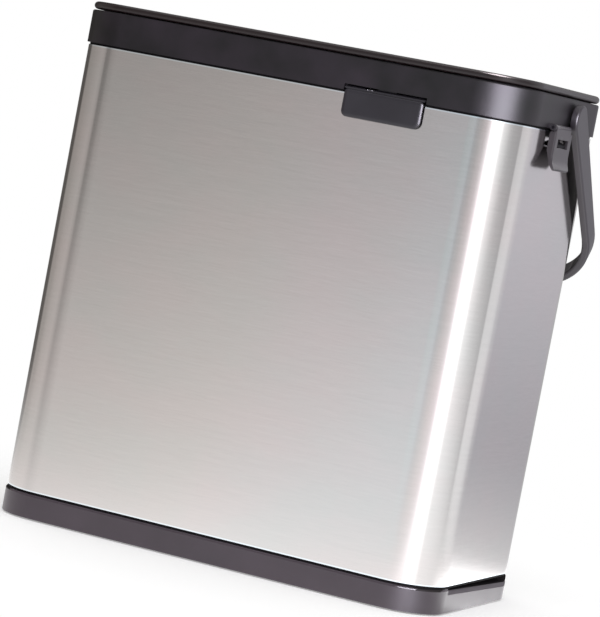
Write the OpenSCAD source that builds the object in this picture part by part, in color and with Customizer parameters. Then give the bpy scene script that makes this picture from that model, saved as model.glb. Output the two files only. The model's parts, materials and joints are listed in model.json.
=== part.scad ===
// Slim steel bin with a manual press: the lid carries a press plate on two
// telescopic posts, a bail handle swings over the collar, and a clip at each
// end holds the collar to the steel shell. Millimetres, +Z up, origin on the
// floor at the middle of the shell.

/* [Steel shell] */
// Width of the steel shell, side to side
body_w = 400; // [380:1:440]
// Depth of the steel shell, front to back
body_d = 235; // [228:1:260]
// Radius of the four upright corners of the shell
corner_r = 43; // [38:1:50]
// Height of the steel shell
shell_h = 378.3; // [320:0.1:440]
// Thickness of the steel sheet
sheet_t = 1; // [0.8:0.1:1.2]

/* [Base] */
// Height of the moulded base, up to its top edge
base_h = 21.5; // [20:0.1:28]
// How far the base stands proud of the steel
base_proud = 1; // [0.6:0.1:1.6]
// Thickness of the base walls and floor
base_wall = 3; // [2.4:0.1:3.6]
// Rounding of the top edge of the base
base_edge_r = 2; // [1:0.1:2.4]
// Height of the dark joint between the base and the steel
base_joint = 1.8; // [1.6:0.1:2.4]
// Height of the floor pan's wall inside the foot of the steel shell
pan_h = 22; // [16:1:30]
// Thickness of the floor pan's wall
pan_wall = 3.9; // [3:0.1:4.2]
// Thickness of the floor pan's floor
pan_floor = 2.5; // [2.4:0.1:3]
// Thickness of the ribs and posts' rims under the base
rib_t = 3; // [2:0.5:4]
// How far the feet stand below the base
foot_proud = 1; // [0.8:0.1:2]
// Diameter of a corner foot
foot_dia = 22; // [16:1:26]
// Diameter of the middle foot, which takes the pressing force
centre_foot_dia = 40; // [30:1:56]
// Diameter of the screws
screw_dia = 3.3; // [3:0.1:4]
// Diameter of the screw heads
screw_head_dia = 7; // [6:0.1:8]
// Height of the screw heads
screw_head_h = 2; // [1.6:0.1:2.6]

/* [End recess] */
// Depth of the recess in each end of the base
recess_in = 14; // [10:1:18]
// Height of the recess at its front end
recess_front_h = 2.2; // [1.5:0.1:4]
// Height of the recess at its back end
recess_back_h = 6.4; // [4:0.1:9]
// Height of the bevel below the recess
recess_bevel = 3; // [2:0.1:4]

/* [Collar] */
// Height of the collar
collar_h = 27.5; // [26:0.1:34]
// How far the collar stands proud of the steel
collar_proud = 1.6; // [1.2:0.1:2.4]
// Thickness of the collar walls
collar_wall = 3; // [2.4:0.1:3.6]
// Bevel along the top edge of the collar
collar_bevel = 1; // [0.6:0.1:1.6]
// Width of the collar from the steel face to the opening
collar_ring = 19.5; // [18.5:0.1:22]
// Height of the dark joint between the steel and the collar
collar_joint = 1.7; // [1.4:0.1:2.4]

/* [Lid] */
// Thickness of the lid
lid_t = 6.4; // [6:0.1:8]
// How far the lid stands proud of the steel
lid_proud = 1.2; // [0.6:0.1:1.5]
// Height of the joint between the collar and the lid
lid_joint = 0.8; // [0.6:0.1:1.4]
// Thickness of the inner lid under the lid panel
inner_lid_t = 4; // [3:0.1:5]
// Gap all round between the inner lid and the collar opening
inner_lid_gap = 3.5; // [3:0.1:6]
// Distance of the two lid hinges from the middle
hinge_x = 110; // [90:1:130]
// Diameter of the lid hinge pins
hinge_pin_dia = 3; // [2.6:0.1:3.4]

/* [Press] */
// Travel of the press plate
press_travel = 75; // [60:1:80]
// Gap between the collar's opening and the press plate, at each end
plate_end_gap = 10.5; // [8:0.5:30]
// Gap between the collar's opening and the press plate, at the front and back
plate_side_gap = 18; // [16:0.5:28]
// Thickness of the press plate
plate_t = 9; // [7:0.5:12]
// Height of the parked press plate's underside below the lid hinge
plate_drop = 68; // [64:1:70]
// Width of the wiper seal that stands out around the press plate
wiper_out = 2; // [1:0.1:2.4]
// Width of the press head in the lid
head_w = 212; // [190:1:216]
// Depth of the press head in the lid
head_d = 102; // [96:1:104]
// Height of the press head
head_h = 16.4; // [15:0.1:18]
// Gap between the press head's hole and a guide post, which holds a return spring
post_gap = 18.44; // [14:0.01:22]
// Diameter of the inner rod of a guide post
rod_dia = 8; // [6:0.5:9]
// Wall of the middle tube of a guide post
tube_wall = 2; // [1.5:0.1:2.4]
// Wall of the outer sleeve of a guide post
sleeve_wall = 2.4; // [2:0.1:3]
// Reach of the press handle from its pivot to the middle of its grip
handle_reach = 92; // [80:1:96]
// Thickness of the press handle
handle_t = 9; // [8:0.5:10]

/* [Bail handle] */
// Distance of the bail pivots behind the middle of the bin
bail_y = 15; // [14:0.5:18]
// Height of the bail pivots above the foot of the collar
bail_up = 11.2; // [11:0.1:13]
// Angle of the resting bail from straight down
bail_rest = 44.5; // [43:0.5:48]
// Length of the straight part of a bail arm
bail_arm = 132; // [122:1:142]
// Outer radius of the bail's corners
bail_corner_r = 68; // [60:1:72]
// Width of a bail arm at its pivot
bail_w = 26; // [25:0.5:27.5]
// Width of the bail at its grip
grip_w = 17; // [14:1:20]
// Thickness of a bail arm
bail_t = 6.6; // [5.6:0.1:6.8]
// Thickness of the bail at its grip
grip_t = 7; // [6:0.1:8]
// Diameter of the bail pivot pins
bail_pin_dia = 8; // [6:0.5:8.5]

/* [End clips] */
// Width of an end clip, front to back
clip_w = 44; // [40:1:46]
// Distance of the back edge of a clip behind the middle of the bin
clip_back = 2; // [0:0.5:2]
// Length of an end clip below its pin
clip_len = 34.8; // [33:0.2:37]
// How far the face of an end clip stands off the steel
clip_off = 7.7; // [7.4:0.1:9]
// Thickness of an end clip
clip_t = 2.5; // [2.2:0.1:2.8]
// Width of the window in an end clip
window_w = 28; // [24:1:30]
// Height of the window in an end clip
window_h = 7; // [6:0.5:8]
// Diameter of the clip pins
clip_pin_dia = 2.6; // [2.2:0.1:3]
// Thickness of the front ear of a clip
clip_ear = 4; // [3:0.1:5]
// Thickness of the back ear of a clip
clip_back_ear = 2.5; // [2:0.1:3]

/* [Release paddle] */
// Distance of the middle of the paddle from the middle of the bin
paddle_x = 84; // [80:1:90]
// Width of the release paddle
paddle_w = 69; // [60:1:76]
// Height of the release paddle
paddle_h = 25.5; // [22:0.5:28]
// How far the face of the paddle stands off the steel
paddle_off = 4; // [3.8:0.1:5]
// Thickness of the paddle
paddle_t = 2.1; // [1.8:0.1:2.2]
// Radius of the lower corners of the paddle
paddle_r = 3.5; // [2:0.5:6]
// Diameter of the paddle's pin
paddle_pin_dia = 2; // [1.8:0.1:2.2]

/* [Inner bucket] */
// Gap between the steel face and the outside of the bucket
bucket_gap = 7; // [6.5:0.1:9]
// Thickness of the bucket walls
bucket_wall = 2; // [1.6:0.1:2.4]

/* [Hidden] */
$fn = 72;

// Clearances: pin in a hinge hole, sliding tube, moving faces, fixed pieces, soft seals
pin_fit = 0.06;
slide_fit = 0.08;
run_gap = 0.4;
seat_gap = 0.1;
seal_gap = 0.35;
screw_fit = 0.1;
eps = 0.01;

// Heights of the stack
shell_z = base_h + base_joint;
shell_top = shell_z + shell_h;
collar_z = shell_top + collar_joint;
collar_top = collar_z + collar_h;
lid_z = collar_top + lid_joint;
lid_top = lid_z + lid_t;

// Base and floor pan
pan_in = sheet_t + seat_gap;
pan_neck = base_wall;
recess_front = -(body_d / 2 - corner_r) + 3;
recess_back = body_d / 2 - corner_r / 2 - 3;
recess_slope = atan((recess_back_h - recess_front_h) / (recess_back - recess_front));
screw_side = 18;
screw_end = 70;
screw_y = body_d / 2 - screw_side;
screw_x = body_w / 2 - screw_end;
foot_x = body_w / 2 - corner_r;
foot_y = body_d / 2 - corner_r;
foot_rim = 2;
rib_x = 105;

// Lid hinge: its axis is the middle of the lid's rounded back edge
lid_edge_r = lid_t / 2;
hinge_y = body_d / 2 + lid_proud - lid_edge_r;
hinge_z = lid_z + lid_edge_r;
ear_w = 8;
knuckle_w = 16;
ear_r = lid_edge_r - 0.2;
ear_mid = knuckle_w / 2 + run_gap + ear_w / 2;
stop_pad_w = 12;
stop_pad_t = 2.4;
stop_pad_low = 10;
gasket_in = 8;
gasket_w = 4;
gasket_sink = 1;

// Shell rim, bucket and bag ring, one inside the other
rim_wall = 3.6;
rim_in = sheet_t + seat_gap;
rim_h = 16;
rim_top = collar_z - 0.3;
rim_ledge_h = 3;
bucket_flange_z = rim_top - 4;
bucket_bottom = base_h + pan_floor + 0.4;
bucket_in = bucket_gap + bucket_wall;
bag_ring_t = 1.6;
bag_ring_w = 2.2;
bag_ring_skirt = 8;

// Inner lid, plate and posts
opening_w = body_w - 2 * collar_ring;
opening_d = body_d - 2 * collar_ring;
opening_r = corner_r - collar_ring;
inner_lid_z = lid_z - inner_lid_t;
plate_w = opening_w - 2 * plate_end_gap;
plate_d = opening_d - 2 * plate_side_gap;
plate_z = hinge_z - plate_drop;
plate_top = plate_z + plate_t;
plate_r = 22;
wiper_h = 3;
wiper_hold = 3;
head_sink = 0.6;
head_z = lid_top - head_sink - head_h;
head_r = 11;
head_gap = 1;
head_hole_step = 1;
rod_r = rod_dia / 2;
rod_socket = 2;
tube_r = rod_r + slide_fit + tube_wall;
sleeve_r = tube_r + slide_fit + sleeve_wall;
head_hole_x = head_w / 2 + head_gap + head_hole_step;
head_hole_y = head_d / 2 + head_gap + head_hole_step;
post_x = head_hole_x + post_gap + sleeve_r;
stage_gap = 0.7;
tube_z = plate_top + stage_gap;
tube_top = lid_z - stage_gap;
rod_top = tube_top - stage_gap;
sleeve_z = tube_z + 3;
column_w = 120;
column_d = 60;
column_wall = 2.5;
plate_screw_in = 10;
lid_screw_end = 17;
lid_screw_side = 20.5;
plate_screw_x = column_w / 2 - plate_screw_in;
plate_screw_y = column_d / 2 - plate_screw_in;
lid_screw_x = opening_w / 2 - inner_lid_gap - lid_screw_end;
lid_screw_y = opening_d / 2 - inner_lid_gap - lid_screw_side;
spring_r = 5;
spring_wire = 1.2;
spring_turns = 11;
spring_sides = 6;
spring_steps = 12;
spring_x = head_hole_x + post_gap / 2;
filter_w = 120;
filter_h = 12;
filter_wall = 2.5;
filter_front_gap = 6;
filter_back_gap = 7.5;
filter_front = head_hole_y + filter_front_gap;
filter_back = opening_d / 2 - inner_lid_gap - filter_back_gap;
filter_d = filter_back - filter_front;
filter_slot = 5;
filter_slot_end = 6;

// Press handle in its recess
handle_pin_dia = 4;
handle_sink = 1.2;
handle_z = lid_top - head_sink - handle_sink - handle_t / 2;
handle_leg_y = 36;
handle_pin_in = 3;
recess_y = handle_leg_y + handle_t / 2 + run_gap;
recess_x0 = -handle_t - 4;
recess_x1 = handle_reach + handle_t / 2 + 2;
recess_floor = 4;

// Bail
bail_z = collar_z + bail_up;
bail_gap = 1.8;
bail_in = body_w / 2 + collar_proud + bail_gap;
bail_out = bail_in + bail_t;
bail_range = 188;
tongue_x = 1.4;
tongue_t = 2.6;
tongue_w = grip_w - 6;
tongue_len = 9;
tongue_gap = 0.1;
key_in = 1.5;
key_half = 3;
bail_pin_depth = 3;
bail_pin_len = 16;
pin_boss = 12;
pin_boss_wall = 3;
stop_r = 8.5;
stop_w = 3;
stop_t = 2;
stop_h = 0.8;
groove_w = stop_t + 2 * run_gap;
groove_depth = stop_h + run_gap;

// End clips
clip_front = clip_back - clip_w;
clip_mid = clip_back - clip_w / 2;
clip_gap = 0.3;
clip_pin_r = clip_pin_dia / 2;
clip_knuckle_r = clip_pin_r + 1.4;
clip_face = body_w / 2 + clip_off;
clip_pin_x = clip_face - clip_knuckle_r - 0.2;
clip_pin_z = collar_z + 1.5;
clip_shoulder_z = clip_pin_z - clip_knuckle_r - 0.6;
clip_foot = clip_pin_z - clip_len;
clip_cheek = 2.5;
clip_cheek_in = body_w / 2 + 1.9;
back_ear_y = clip_back - 4;
window_drop = 16;
cheek_foot = 16;
lip_start = 12;
lip_bend = 7;
window_z = clip_pin_z - window_drop;
lug_z = window_z + run_gap;
lug_w = window_w - 3;
lug_tip = clip_face - clip_t + 0.8;
rivet_r = 1.5;
rivet_head_r = 2.6;
rivet_head_h = 1.2;
rivet_y = 7;
rivet_z = lug_z + 2.6;

// Release paddle
paddle_face = -(body_d / 2 + paddle_off);
paddle_top = collar_z + 4.2;
paddle_hub_r = paddle_pin_dia / 2 + 1.2;
paddle_pin_z = collar_z + paddle_hub_r + 0.2;
paddle_pin_y = -(body_d / 2 - 4);
paddle_arm_w = 16;
paddle_arm_t = 3;
paddle_shelf_t = 2.5;
paddle_lug_w = 2.5;
paddle_lug_d = 12;
paddle_bevel = 1;
notch_gap = 1.5;
notch_top_gap = 0.8;
magnet_w = 14;
magnet_d = 6;
magnet_t = 3;
magnet_gap = 0.3;
striker_t = 1.2;
striker_d = 9;
magnet_top = lid_z - striker_t - magnet_gap;
twist_wire = 0.6;
twist_w = 7;
twist_x = paddle_x - paddle_arm_w / 2 - twist_w - 3;

// ---------------------------------------------------------------- helpers

// Rounded rectangle, its edges pushed out by o
module outline(w, d, r, o = 0) {
  square([w - 2 * r, d + 2 * o], center = true);
  square([w + 2 * o, d - 2 * r], center = true);
  for (x = [-1, 1], y = [-1, 1])
    translate([x * (w / 2 - r), y * (d / 2 - r)]) circle(r = r + o);
}

// Outline of the bin, pushed out by o
module bin_outline(o = 0) {
  outline(body_w, body_d, corner_r, o);
}

// Upright ring of the bin's outline between two offsets and two heights
module bin_ring(outer, inner, z0, z1) {
  translate([0, 0, z0]) linear_extrude(z1 - z0) difference() {
    bin_outline(outer);
    bin_outline(inner);
  }
}

// Profile of [offset outwards, height] points carried round the bin's outline
module swept_ring(pts) {
  for (a = [0, 180]) {
    // the corner of this end, and the one behind it as its mirror image
    rotate(a) for (m = [0, 1]) mirror([0, m, 0])
      translate([body_w / 2 - corner_r, body_d / 2 - corner_r, 0]) rotate_extrude(angle = 90)
        polygon([for (p = pts) [corner_r + p[0], p[1]]]);
    rotate(a) translate([body_w / 2, body_d / 2 - corner_r, 0])
      rotate([90, 0, 0]) linear_extrude(body_d - 2 * corner_r) polygon(pts);
    rotate(a + 90) translate([body_d / 2, body_w / 2 - corner_r, 0])
      rotate([90, 0, 0]) linear_extrude(body_w - 2 * corner_r) polygon(pts);
  }
}

// Points of an arc about [x, y], from angle a0 to a1 in n steps
function arc(x, y, r, a0, a1, n = 8) =
  [for (i = [0:n]) [x + r * cos(a0 + (a1 - a0) * i / n), y + r * sin(a0 + (a1 - a0) * i / n)]];

// Rods along X and Y, between two ends
module rod_x(y, z, r, x0, x1) {
  translate([x0, y, z]) rotate([0, 90, 0]) cylinder(r = r, h = x1 - x0);
}

module rod_y(x, z, r, y0, y1) {
  translate([x, y1, z]) rotate([90, 0, 0]) cylinder(r = r, h = y1 - y0);
}

// Plate with a side view of [x, z] points, from y0 to y1
module side_plate(y0, y1, pts) {
  translate([0, y1, 0]) rotate([90, 0, 0]) linear_extrude(y1 - y0) polygon(pts);
}

// Block between two corners
module block(low, high) {
  translate(low) cube(high - low);
}

// The same thing on the right and on the left
module both_ends() {
  children();
  mirror([1, 0, 0]) children();
}

// Wire coil about Z, swept as one closed tube
module coil(r, wire, turns, h) {
  n = turns * spring_steps;
  function ring(i) = [for (k = [0:spring_sides - 1])
    let (a = 360 * turns * i / n, b = 360 * k / spring_sides, d = r + wire / 2 * cos(b))
      [d * cos(a), d * sin(a), wire / 2 + (h - wire) * i / n + wire / 2 * sin(b)]];
  pts = [for (i = [0:n]) each ring(i)];
  polyhedron(points = pts, convexity = 6, faces = concat(
    [[for (k = [0:spring_sides - 1]) k]],
    [[for (k = [spring_sides - 1:-1:0]) n * spring_sides + k]],
    [for (i = [0:n - 1], k = [0:spring_sides - 1])
      [i * spring_sides + k, (i + 1) * spring_sides + k,
       (i + 1) * spring_sides + (k + 1) % spring_sides, i * spring_sides + (k + 1) % spring_sides]]));
}

// ------------------------------------------------------------------- base

module foot_spots() {
  for (x = [-foot_x, foot_x], y = [-foot_y, foot_y]) translate([x, y, 0]) children();
}

// Hole for a screw, and the screw itself with its head downwards
module screw_hole(h) {
  translate([0, 0, -1]) cylinder(d = screw_dia + 2 * screw_fit, h = h + 2);
}

module screw(h) {
  cylinder(d = screw_head_dia, h = screw_head_h);
  cylinder(d = screw_dia, h = screw_head_h + h);
}

module screw_spots() {
  for (x = [-screw_x, 0, screw_x], y = [-screw_y, screw_y]) translate([x, y, 0]) children();
}

// Room of one end recess: its lower lip rises towards the front and is bevelled
module end_recess() {
  face = body_w / 2 + base_proud;
  back_in = body_w / 2 - recess_in;
  run = (recess_back - recess_front) / cos(recess_slope);
  intersection() {
    translate([0, recess_front, base_h - recess_front_h]) rotate([-recess_slope, 0, 0])
      side_plate(0, run, [[back_in, 0], [face - recess_bevel, 0], [face + 1, -recess_bevel - 1],
                          [face + 1, base_h], [back_in, base_h]]);
    block([back_in, recess_front, 0], [face + 1, recess_back, base_h + eps]);
  }
}

module base_tray() color([0.2, 0.18, 0.19]) {
  floor_z = base_h - base_wall;
  difference() {
    union() {
      swept_ring(concat([[base_proud - base_wall, foot_proud], [base_proud, foot_proud]],
        arc(base_proud - base_edge_r, base_h - base_edge_r, base_edge_r, 0, 90, 5),
        [[base_proud - base_wall, base_h]]));
      translate([0, 0, floor_z]) linear_extrude(base_wall) bin_outline(base_proud - base_wall + eps);
      // blocks behind the end recesses, kept inside the outer wall
      intersection() {
        translate([0, 0, foot_proud + rib_t]) linear_extrude(floor_z - foot_proud - rib_t + 1)
          bin_outline(base_proud - base_wall / 2);
        both_ends() block([body_w / 2 - recess_in - rib_t, recess_front - rib_t, 0],
                          [body_w / 2 + base_proud, recess_back + rib_t, base_h]);
      }
      // cross ribs, and posts over the feet
      for (x = [-rib_x, rib_x])
        block([x - rib_t / 2, -body_d / 2, foot_proud + rib_t], [x + rib_t / 2, body_d / 2, floor_z + 1]);
      translate([0, 0, foot_proud]) {
        cylinder(d = centre_foot_dia + 2 * foot_rim, h = floor_z - foot_proud + 1);
        foot_spots() cylinder(d = foot_dia + 2 * foot_rim, h = floor_z - foot_proud + 1);
      }
    }
    both_ends() end_recess();
    translate([0, 0, floor_z]) screw_spots() screw_hole(base_wall);
  }
}

module rubber_feet() color([0.1, 0.1, 0.1]) {
  foot_spots() cylinder(d = foot_dia, h = foot_proud);
  cylinder(d = centre_foot_dia, h = foot_proud);
}

module floor_pan() color([0.05, 0.05, 0.06]) {
  difference() {
    union() {
      translate([0, 0, base_h]) linear_extrude(pan_floor) bin_outline(-pan_neck);
      bin_ring(-pan_in, -pan_in - pan_wall, shell_z, shell_z + pan_h);
    }
    translate([0, 0, base_h]) screw_spots() screw_hole(pan_floor);
  }
}

module base_screws() color([0.7, 0.7, 0.72]) {
  translate([0, 0, base_h - base_wall - screw_head_h]) screw_spots() screw(base_wall + pan_floor);
}

module base_gasket() color([0.05, 0.05, 0.06]) {
  bin_ring(-0.6, -pan_neck, base_h, shell_z);
}

// ------------------------------------------------------------------ shell

module rivet_spots() {
  both_ends() for (y = [clip_mid - rivet_y, clip_mid + rivet_y])
    translate([body_w / 2, y, rivet_z]) children();
}

module steel_shell() color([0.78, 0.78, 0.77]) {
  difference() {
    bin_ring(0, -sheet_t, shell_z, shell_top);
    rivet_spots() rod_x(0, 0, rivet_r + screw_fit, -sheet_t - 1, 1);
  }
}

module shell_rim() color([0.06, 0.06, 0.07]) {
  inner = -rim_in - rim_wall;
  difference() {
    union() {
      bin_ring(-rim_in, inner, shell_top - rim_h, rim_top);
      bin_ring(-0.9, inner, shell_top, rim_top);
      bin_ring(inner + 0.5, -bucket_gap + seat_gap, bucket_flange_z - rim_ledge_h, bucket_flange_z);
    }
    rivet_spots() rod_x(0, 0, rivet_head_r + screw_fit, -sheet_t - rivet_head_h - 0.4, 1);
  }
}

module catch_lugs() color([0.45, 0.44, 0.44]) {
  x0 = body_w / 2;
  both_ends() side_plate(clip_mid - lug_w / 2, clip_mid + lug_w / 2,
    [[x0, lug_z], [lug_tip, lug_z], [lug_tip, lug_z + 2.4], [x0, lug_z + 5.4]]);
  rivet_spots() {
    rod_x(0, 0, rivet_r, -sheet_t - eps, 1);
    rod_x(0, 0, rivet_head_r, -sheet_t - rivet_head_h, -sheet_t);
  }
}

// ----------------------------------------------------------------- bucket

module inner_bucket() color([0.3, 0.3, 0.31]) {
  flange_in = rim_in + rim_wall + 0.3;
  translate([0, 0, bucket_bottom]) linear_extrude(bucket_wall) bin_outline(-bucket_gap);
  bin_ring(-bucket_gap, -bucket_in, bucket_bottom, bucket_flange_z + bucket_wall);
  bin_ring(-flange_in, -bucket_in, bucket_flange_z, bucket_flange_z + bucket_wall);
}

module bag_ring() color([0.16, 0.16, 0.17]) {
  seat = bucket_flange_z + bucket_wall;
  bin_ring(-rim_in - rim_wall - 0.6, -bucket_in - bag_ring_w, seat, seat + bag_ring_t);
  bin_ring(-bucket_in - 0.3, -bucket_in - bag_ring_w, seat - bag_ring_skirt, seat + eps);
}

// ----------------------------------------------------------------- collar

// Ear that carries one end of a clip pin
module clip_ear_block(y0, y1) {
  rod_y(clip_pin_x, clip_pin_z, clip_knuckle_r, y0, y1);
  block([body_w / 2 + collar_proud - 1, y0, clip_pin_z - 1.2],
        [clip_pin_x, y1, clip_pin_z + clip_knuckle_r]);
}

// Ear that carries one end of a lid hinge pin
module lid_ear(x0, x1) {
  rod_x(hinge_y, hinge_z, ear_r, x0, x1);
  block([x0, hinge_y - ear_r, collar_top - 1], [x1, hinge_y + ear_r, hinge_z]);
}

// Pad behind the lid that stops it when open
module lid_stop(x) {
  x0 = x - stop_pad_w / 2;
  x1 = x + stop_pad_w / 2;
  pad = hinge_y + lid_edge_r + 0.3;
  block([x0, body_d / 2, collar_z + stop_pad_low], [x1, pad + stop_pad_t, collar_top - 1]);
  block([x0, pad, collar_z + stop_pad_low], [x1, pad + stop_pad_t, hinge_z + 0.3]);
}

module collar() color([0.22, 0.2, 0.21]) {
  out = collar_proud;
  in = collar_proud - collar_wall;
  lug_x = paddle_w / 2 + run_gap;
  front_in = -(body_d / 2 + in);
  difference() {
    union() {
      swept_ring([[in, collar_z], [out, collar_z], [out, collar_top - collar_bevel],
        [out - collar_bevel, collar_top], [-collar_ring, collar_top],
        [-collar_ring, collar_z + 6], [-collar_ring + collar_wall, collar_z + 6],
        [-collar_ring + collar_wall, collar_top - collar_wall], [in, collar_top - collar_wall]]);
      // seat on the shell rim
      bin_ring(in + 0.5, -rim_in - rim_wall + 0.8, rim_top, collar_z + 3);
      // bosses and stops for the bail
      both_ends() rod_x(bail_y, bail_z, bail_pin_dia / 2 + pin_boss_wall,
                        body_w / 2 + in - pin_boss, body_w / 2 + in + 1);
      both_ends() translate([bail_in, bail_y, bail_z]) rotate([bail_rest, 0, 0])
        block([-bail_gap - 0.5, -stop_w / 2, -stop_r - stop_t / 2],
              [stop_h, stop_w / 2, -stop_r + stop_t / 2]);
      // ears for the end clips
      both_ends() clip_ear_block(clip_front - clip_ear, clip_front);
      both_ends() clip_ear_block(back_ear_y, back_ear_y + clip_back_ear);
      // ears and stops for the lid
      for (s = [-hinge_x, hinge_x], k = [-ear_mid, ear_mid]) lid_ear(s + k - ear_w / 2, s + k + ear_w / 2);
      for (s = [-hinge_x, hinge_x]) lid_stop(s);
      // lugs that carry the paddle pin
      for (x = [paddle_x - lug_x - paddle_lug_w, paddle_x + lug_x])
        block([x, front_in - 0.5, collar_z + 0.2],
              [x + paddle_lug_w, front_in + paddle_lug_d, collar_top - 1]);
    }
    // notch for the paddle, through the wall and the seat
    block([paddle_x - paddle_w / 2 - notch_gap, -body_d / 2 - 10, collar_z - 5],
          [paddle_x + paddle_w / 2 + notch_gap, front_in + 2, paddle_top + notch_top_gap]);
    block([paddle_x - lug_x, front_in, collar_z - 5],
          [paddle_x + lug_x, front_in + 10, collar_top - collar_wall]);
    // slot for the magnet arm
    block([paddle_x - paddle_arm_w / 2 - 1, front_in, collar_z],
          [paddle_x + paddle_arm_w / 2 + 1, -opening_d / 2 - collar_wall, collar_top + 1]);
    rod_x(paddle_pin_y, paddle_pin_z, (paddle_pin_dia + pin_fit) / 2,
          paddle_x - lug_x - paddle_lug_w - 1, paddle_x + lug_x + paddle_lug_w + 1);
    both_ends() rod_x(bail_y, bail_z, (bail_pin_dia + pin_fit) / 2,
                      bail_in + bail_pin_depth - bail_pin_len - 0.5, body_w);
    both_ends() rod_y(clip_pin_x, clip_pin_z, clip_pin_r + pin_fit / 2,
                      clip_front - clip_ear - 1, clip_back + 1);
    for (s = [-hinge_x, hinge_x])
      rod_x(hinge_y, hinge_z, (hinge_pin_dia + pin_fit) / 2, s - ear_mid - ear_w, s + ear_mid + ear_w);
  }
}

module bail_pins() color([0.75, 0.75, 0.76]) {
  tip = bail_in + bail_pin_depth - 0.3;
  both_ends() rod_x(bail_y, bail_z, bail_pin_dia / 2, tip - bail_pin_len, tip);
}

module clip_pins() color([0.75, 0.75, 0.76]) {
  both_ends() rod_y(clip_pin_x, clip_pin_z, clip_pin_r,
                    clip_front - clip_ear + 0.5, back_ear_y + clip_back_ear - 0.2);
}

module lid_hinge_pins() color([0.75, 0.75, 0.76]) {
  half = ear_mid + ear_w / 2 - 0.2;
  for (s = [-hinge_x, hinge_x]) rod_x(hinge_y, hinge_z, hinge_pin_dia / 2, s - half, s + half);
}

module paddle_pin() color([0.75, 0.75, 0.76]) {
  half = paddle_w / 2 + run_gap + paddle_lug_w - 0.2;
  rod_x(paddle_pin_y, paddle_pin_z, paddle_pin_dia / 2, paddle_x - half, paddle_x + half);
}

module paddle_spring() color([0.7, 0.7, 0.72]) {
  translate([twist_x, paddle_pin_y, paddle_pin_z]) rotate([0, 90, 0])
    coil(paddle_pin_dia / 2 + twist_wire / 2 + 0.2, twist_wire, 6, twist_w);
}

// -------------------------------------------------------------------- lid

module head_outline(gap) {
  outline(head_w, head_d, head_r, gap);
}

module lid_panel() color([0.24, 0.21, 0.21]) {
  edge_in = lid_proud - lid_edge_r;
  difference() {
    union() {
      swept_ring(concat([[-gasket_in, lid_z]], arc(edge_in, hinge_z, lid_edge_r, -90, 90, 10),
                        [[-gasket_in, lid_top]]));
      translate([0, 0, lid_z]) linear_extrude(lid_t) bin_outline(-gasket_in + 0.1);
    }
    translate([0, 0, lid_z - 1]) linear_extrude(lid_t + 2) head_outline(head_gap);
    // notches round the collar's ears, open to the back
    for (s = [-hinge_x, hinge_x], k = [-ear_mid, ear_mid])
      block([s + k - ear_w / 2 - run_gap, hinge_y - ear_r - 0.5, lid_z - 1],
            [s + k + ear_w / 2 + run_gap, body_d / 2 + 5, lid_top + 1]);
    for (s = [-hinge_x, hinge_x])
      rod_x(hinge_y, hinge_z, hinge_pin_dia / 2 + pin_fit, s - ear_mid - ear_w, s + ear_mid + ear_w);
    // groove for the gasket
    bin_ring(-gasket_in, -gasket_in - gasket_w, lid_z - 1, lid_z + gasket_sink);
    lid_screw_spots() screw_hole(lid_t - 4);
  }
}

module lid_screw_spots() {
  for (x = [-lid_screw_x, lid_screw_x], y = [-lid_screw_y, lid_screw_y]) translate([x, y, lid_z]) children();
}

module inner_lid() color([0.18, 0.17, 0.18]) {
  difference() {
    translate([0, 0, inner_lid_z]) linear_extrude(inner_lid_t)
      outline(opening_w, opening_d, opening_r, -inner_lid_gap);
    translate([0, 0, inner_lid_z - 1]) {
      linear_extrude(inner_lid_t + 2) head_outline(head_gap + head_hole_step);
      for (x = [-post_x, post_x]) translate([x, 0, 0]) cylinder(r = sleeve_r + 0.02, h = inner_lid_t + 2);
    }
    lid_screw_spots() translate([0, 0, -inner_lid_t]) screw_hole(inner_lid_t);
  }
}

module lid_screws() color([0.7, 0.7, 0.72]) {
  lid_screw_spots() translate([0, 0, -inner_lid_t - screw_head_h]) screw(inner_lid_t + lid_t - 3.5);
}

module lid_gasket() color([0.08, 0.08, 0.08]) {
  difference() {
    bin_ring(-gasket_in, -gasket_in - gasket_w, collar_top + seal_gap, lid_z + gasket_sink);
    block([paddle_x - magnet_w / 2 - 3, -body_d / 2, collar_top],
          [paddle_x + magnet_w / 2 + 3, -opening_d / 2, lid_z]);
  }
}

module lid_striker() color([0.7, 0.7, 0.72]) {
  block([paddle_x - magnet_w / 2, paddle_pin_y - 2, lid_z - striker_t],
        [paddle_x + magnet_w / 2, paddle_pin_y - 2 + striker_d, lid_z]);
}

module guide_sleeves() color([0.3, 0.3, 0.31]) {
  for (x = [-post_x, post_x]) translate([x, 0, sleeve_z]) difference() {
    cylinder(r = sleeve_r, h = lid_z - sleeve_z);
    translate([0, 0, -1]) cylinder(r = tube_r + slide_fit, h = lid_z - sleeve_z + 2);
  }
}

module filter_cassette() color([0.2, 0.2, 0.21]) {
  low = [-filter_w / 2, filter_front, inner_lid_z - filter_h];
  high = [filter_w / 2, filter_back, inner_lid_z];
  wall = [filter_wall, filter_wall, filter_wall];
  difference() {
    block(low, high);
    block(low + wall, high - [filter_wall, filter_wall, -1]);
    for (x = [-filter_w / 2 + 2 * filter_slot:2 * filter_slot:filter_w / 2 - 2 * filter_slot])
      block([x - filter_slot / 2, filter_front + filter_slot_end, low[2] - 1],
            [x + filter_slot / 2, filter_back - filter_slot_end, low[2] + filter_wall + 1]);
  }
}

module filter_pad() color([0.12, 0.12, 0.12]) {
  inset = filter_wall + run_gap / 2;
  block([-filter_w / 2 + inset, filter_front + inset, inner_lid_z - filter_h + filter_wall],
        [filter_w / 2 - inset, filter_back - inset, inner_lid_z - 0.5]);
}

module return_springs() color([0.75, 0.75, 0.76]) {
  for (x = [-spring_x, spring_x]) translate([x, 0, plate_top])
    coil(spring_r, spring_wire, spring_turns, inner_lid_z - plate_top);
}

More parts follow.
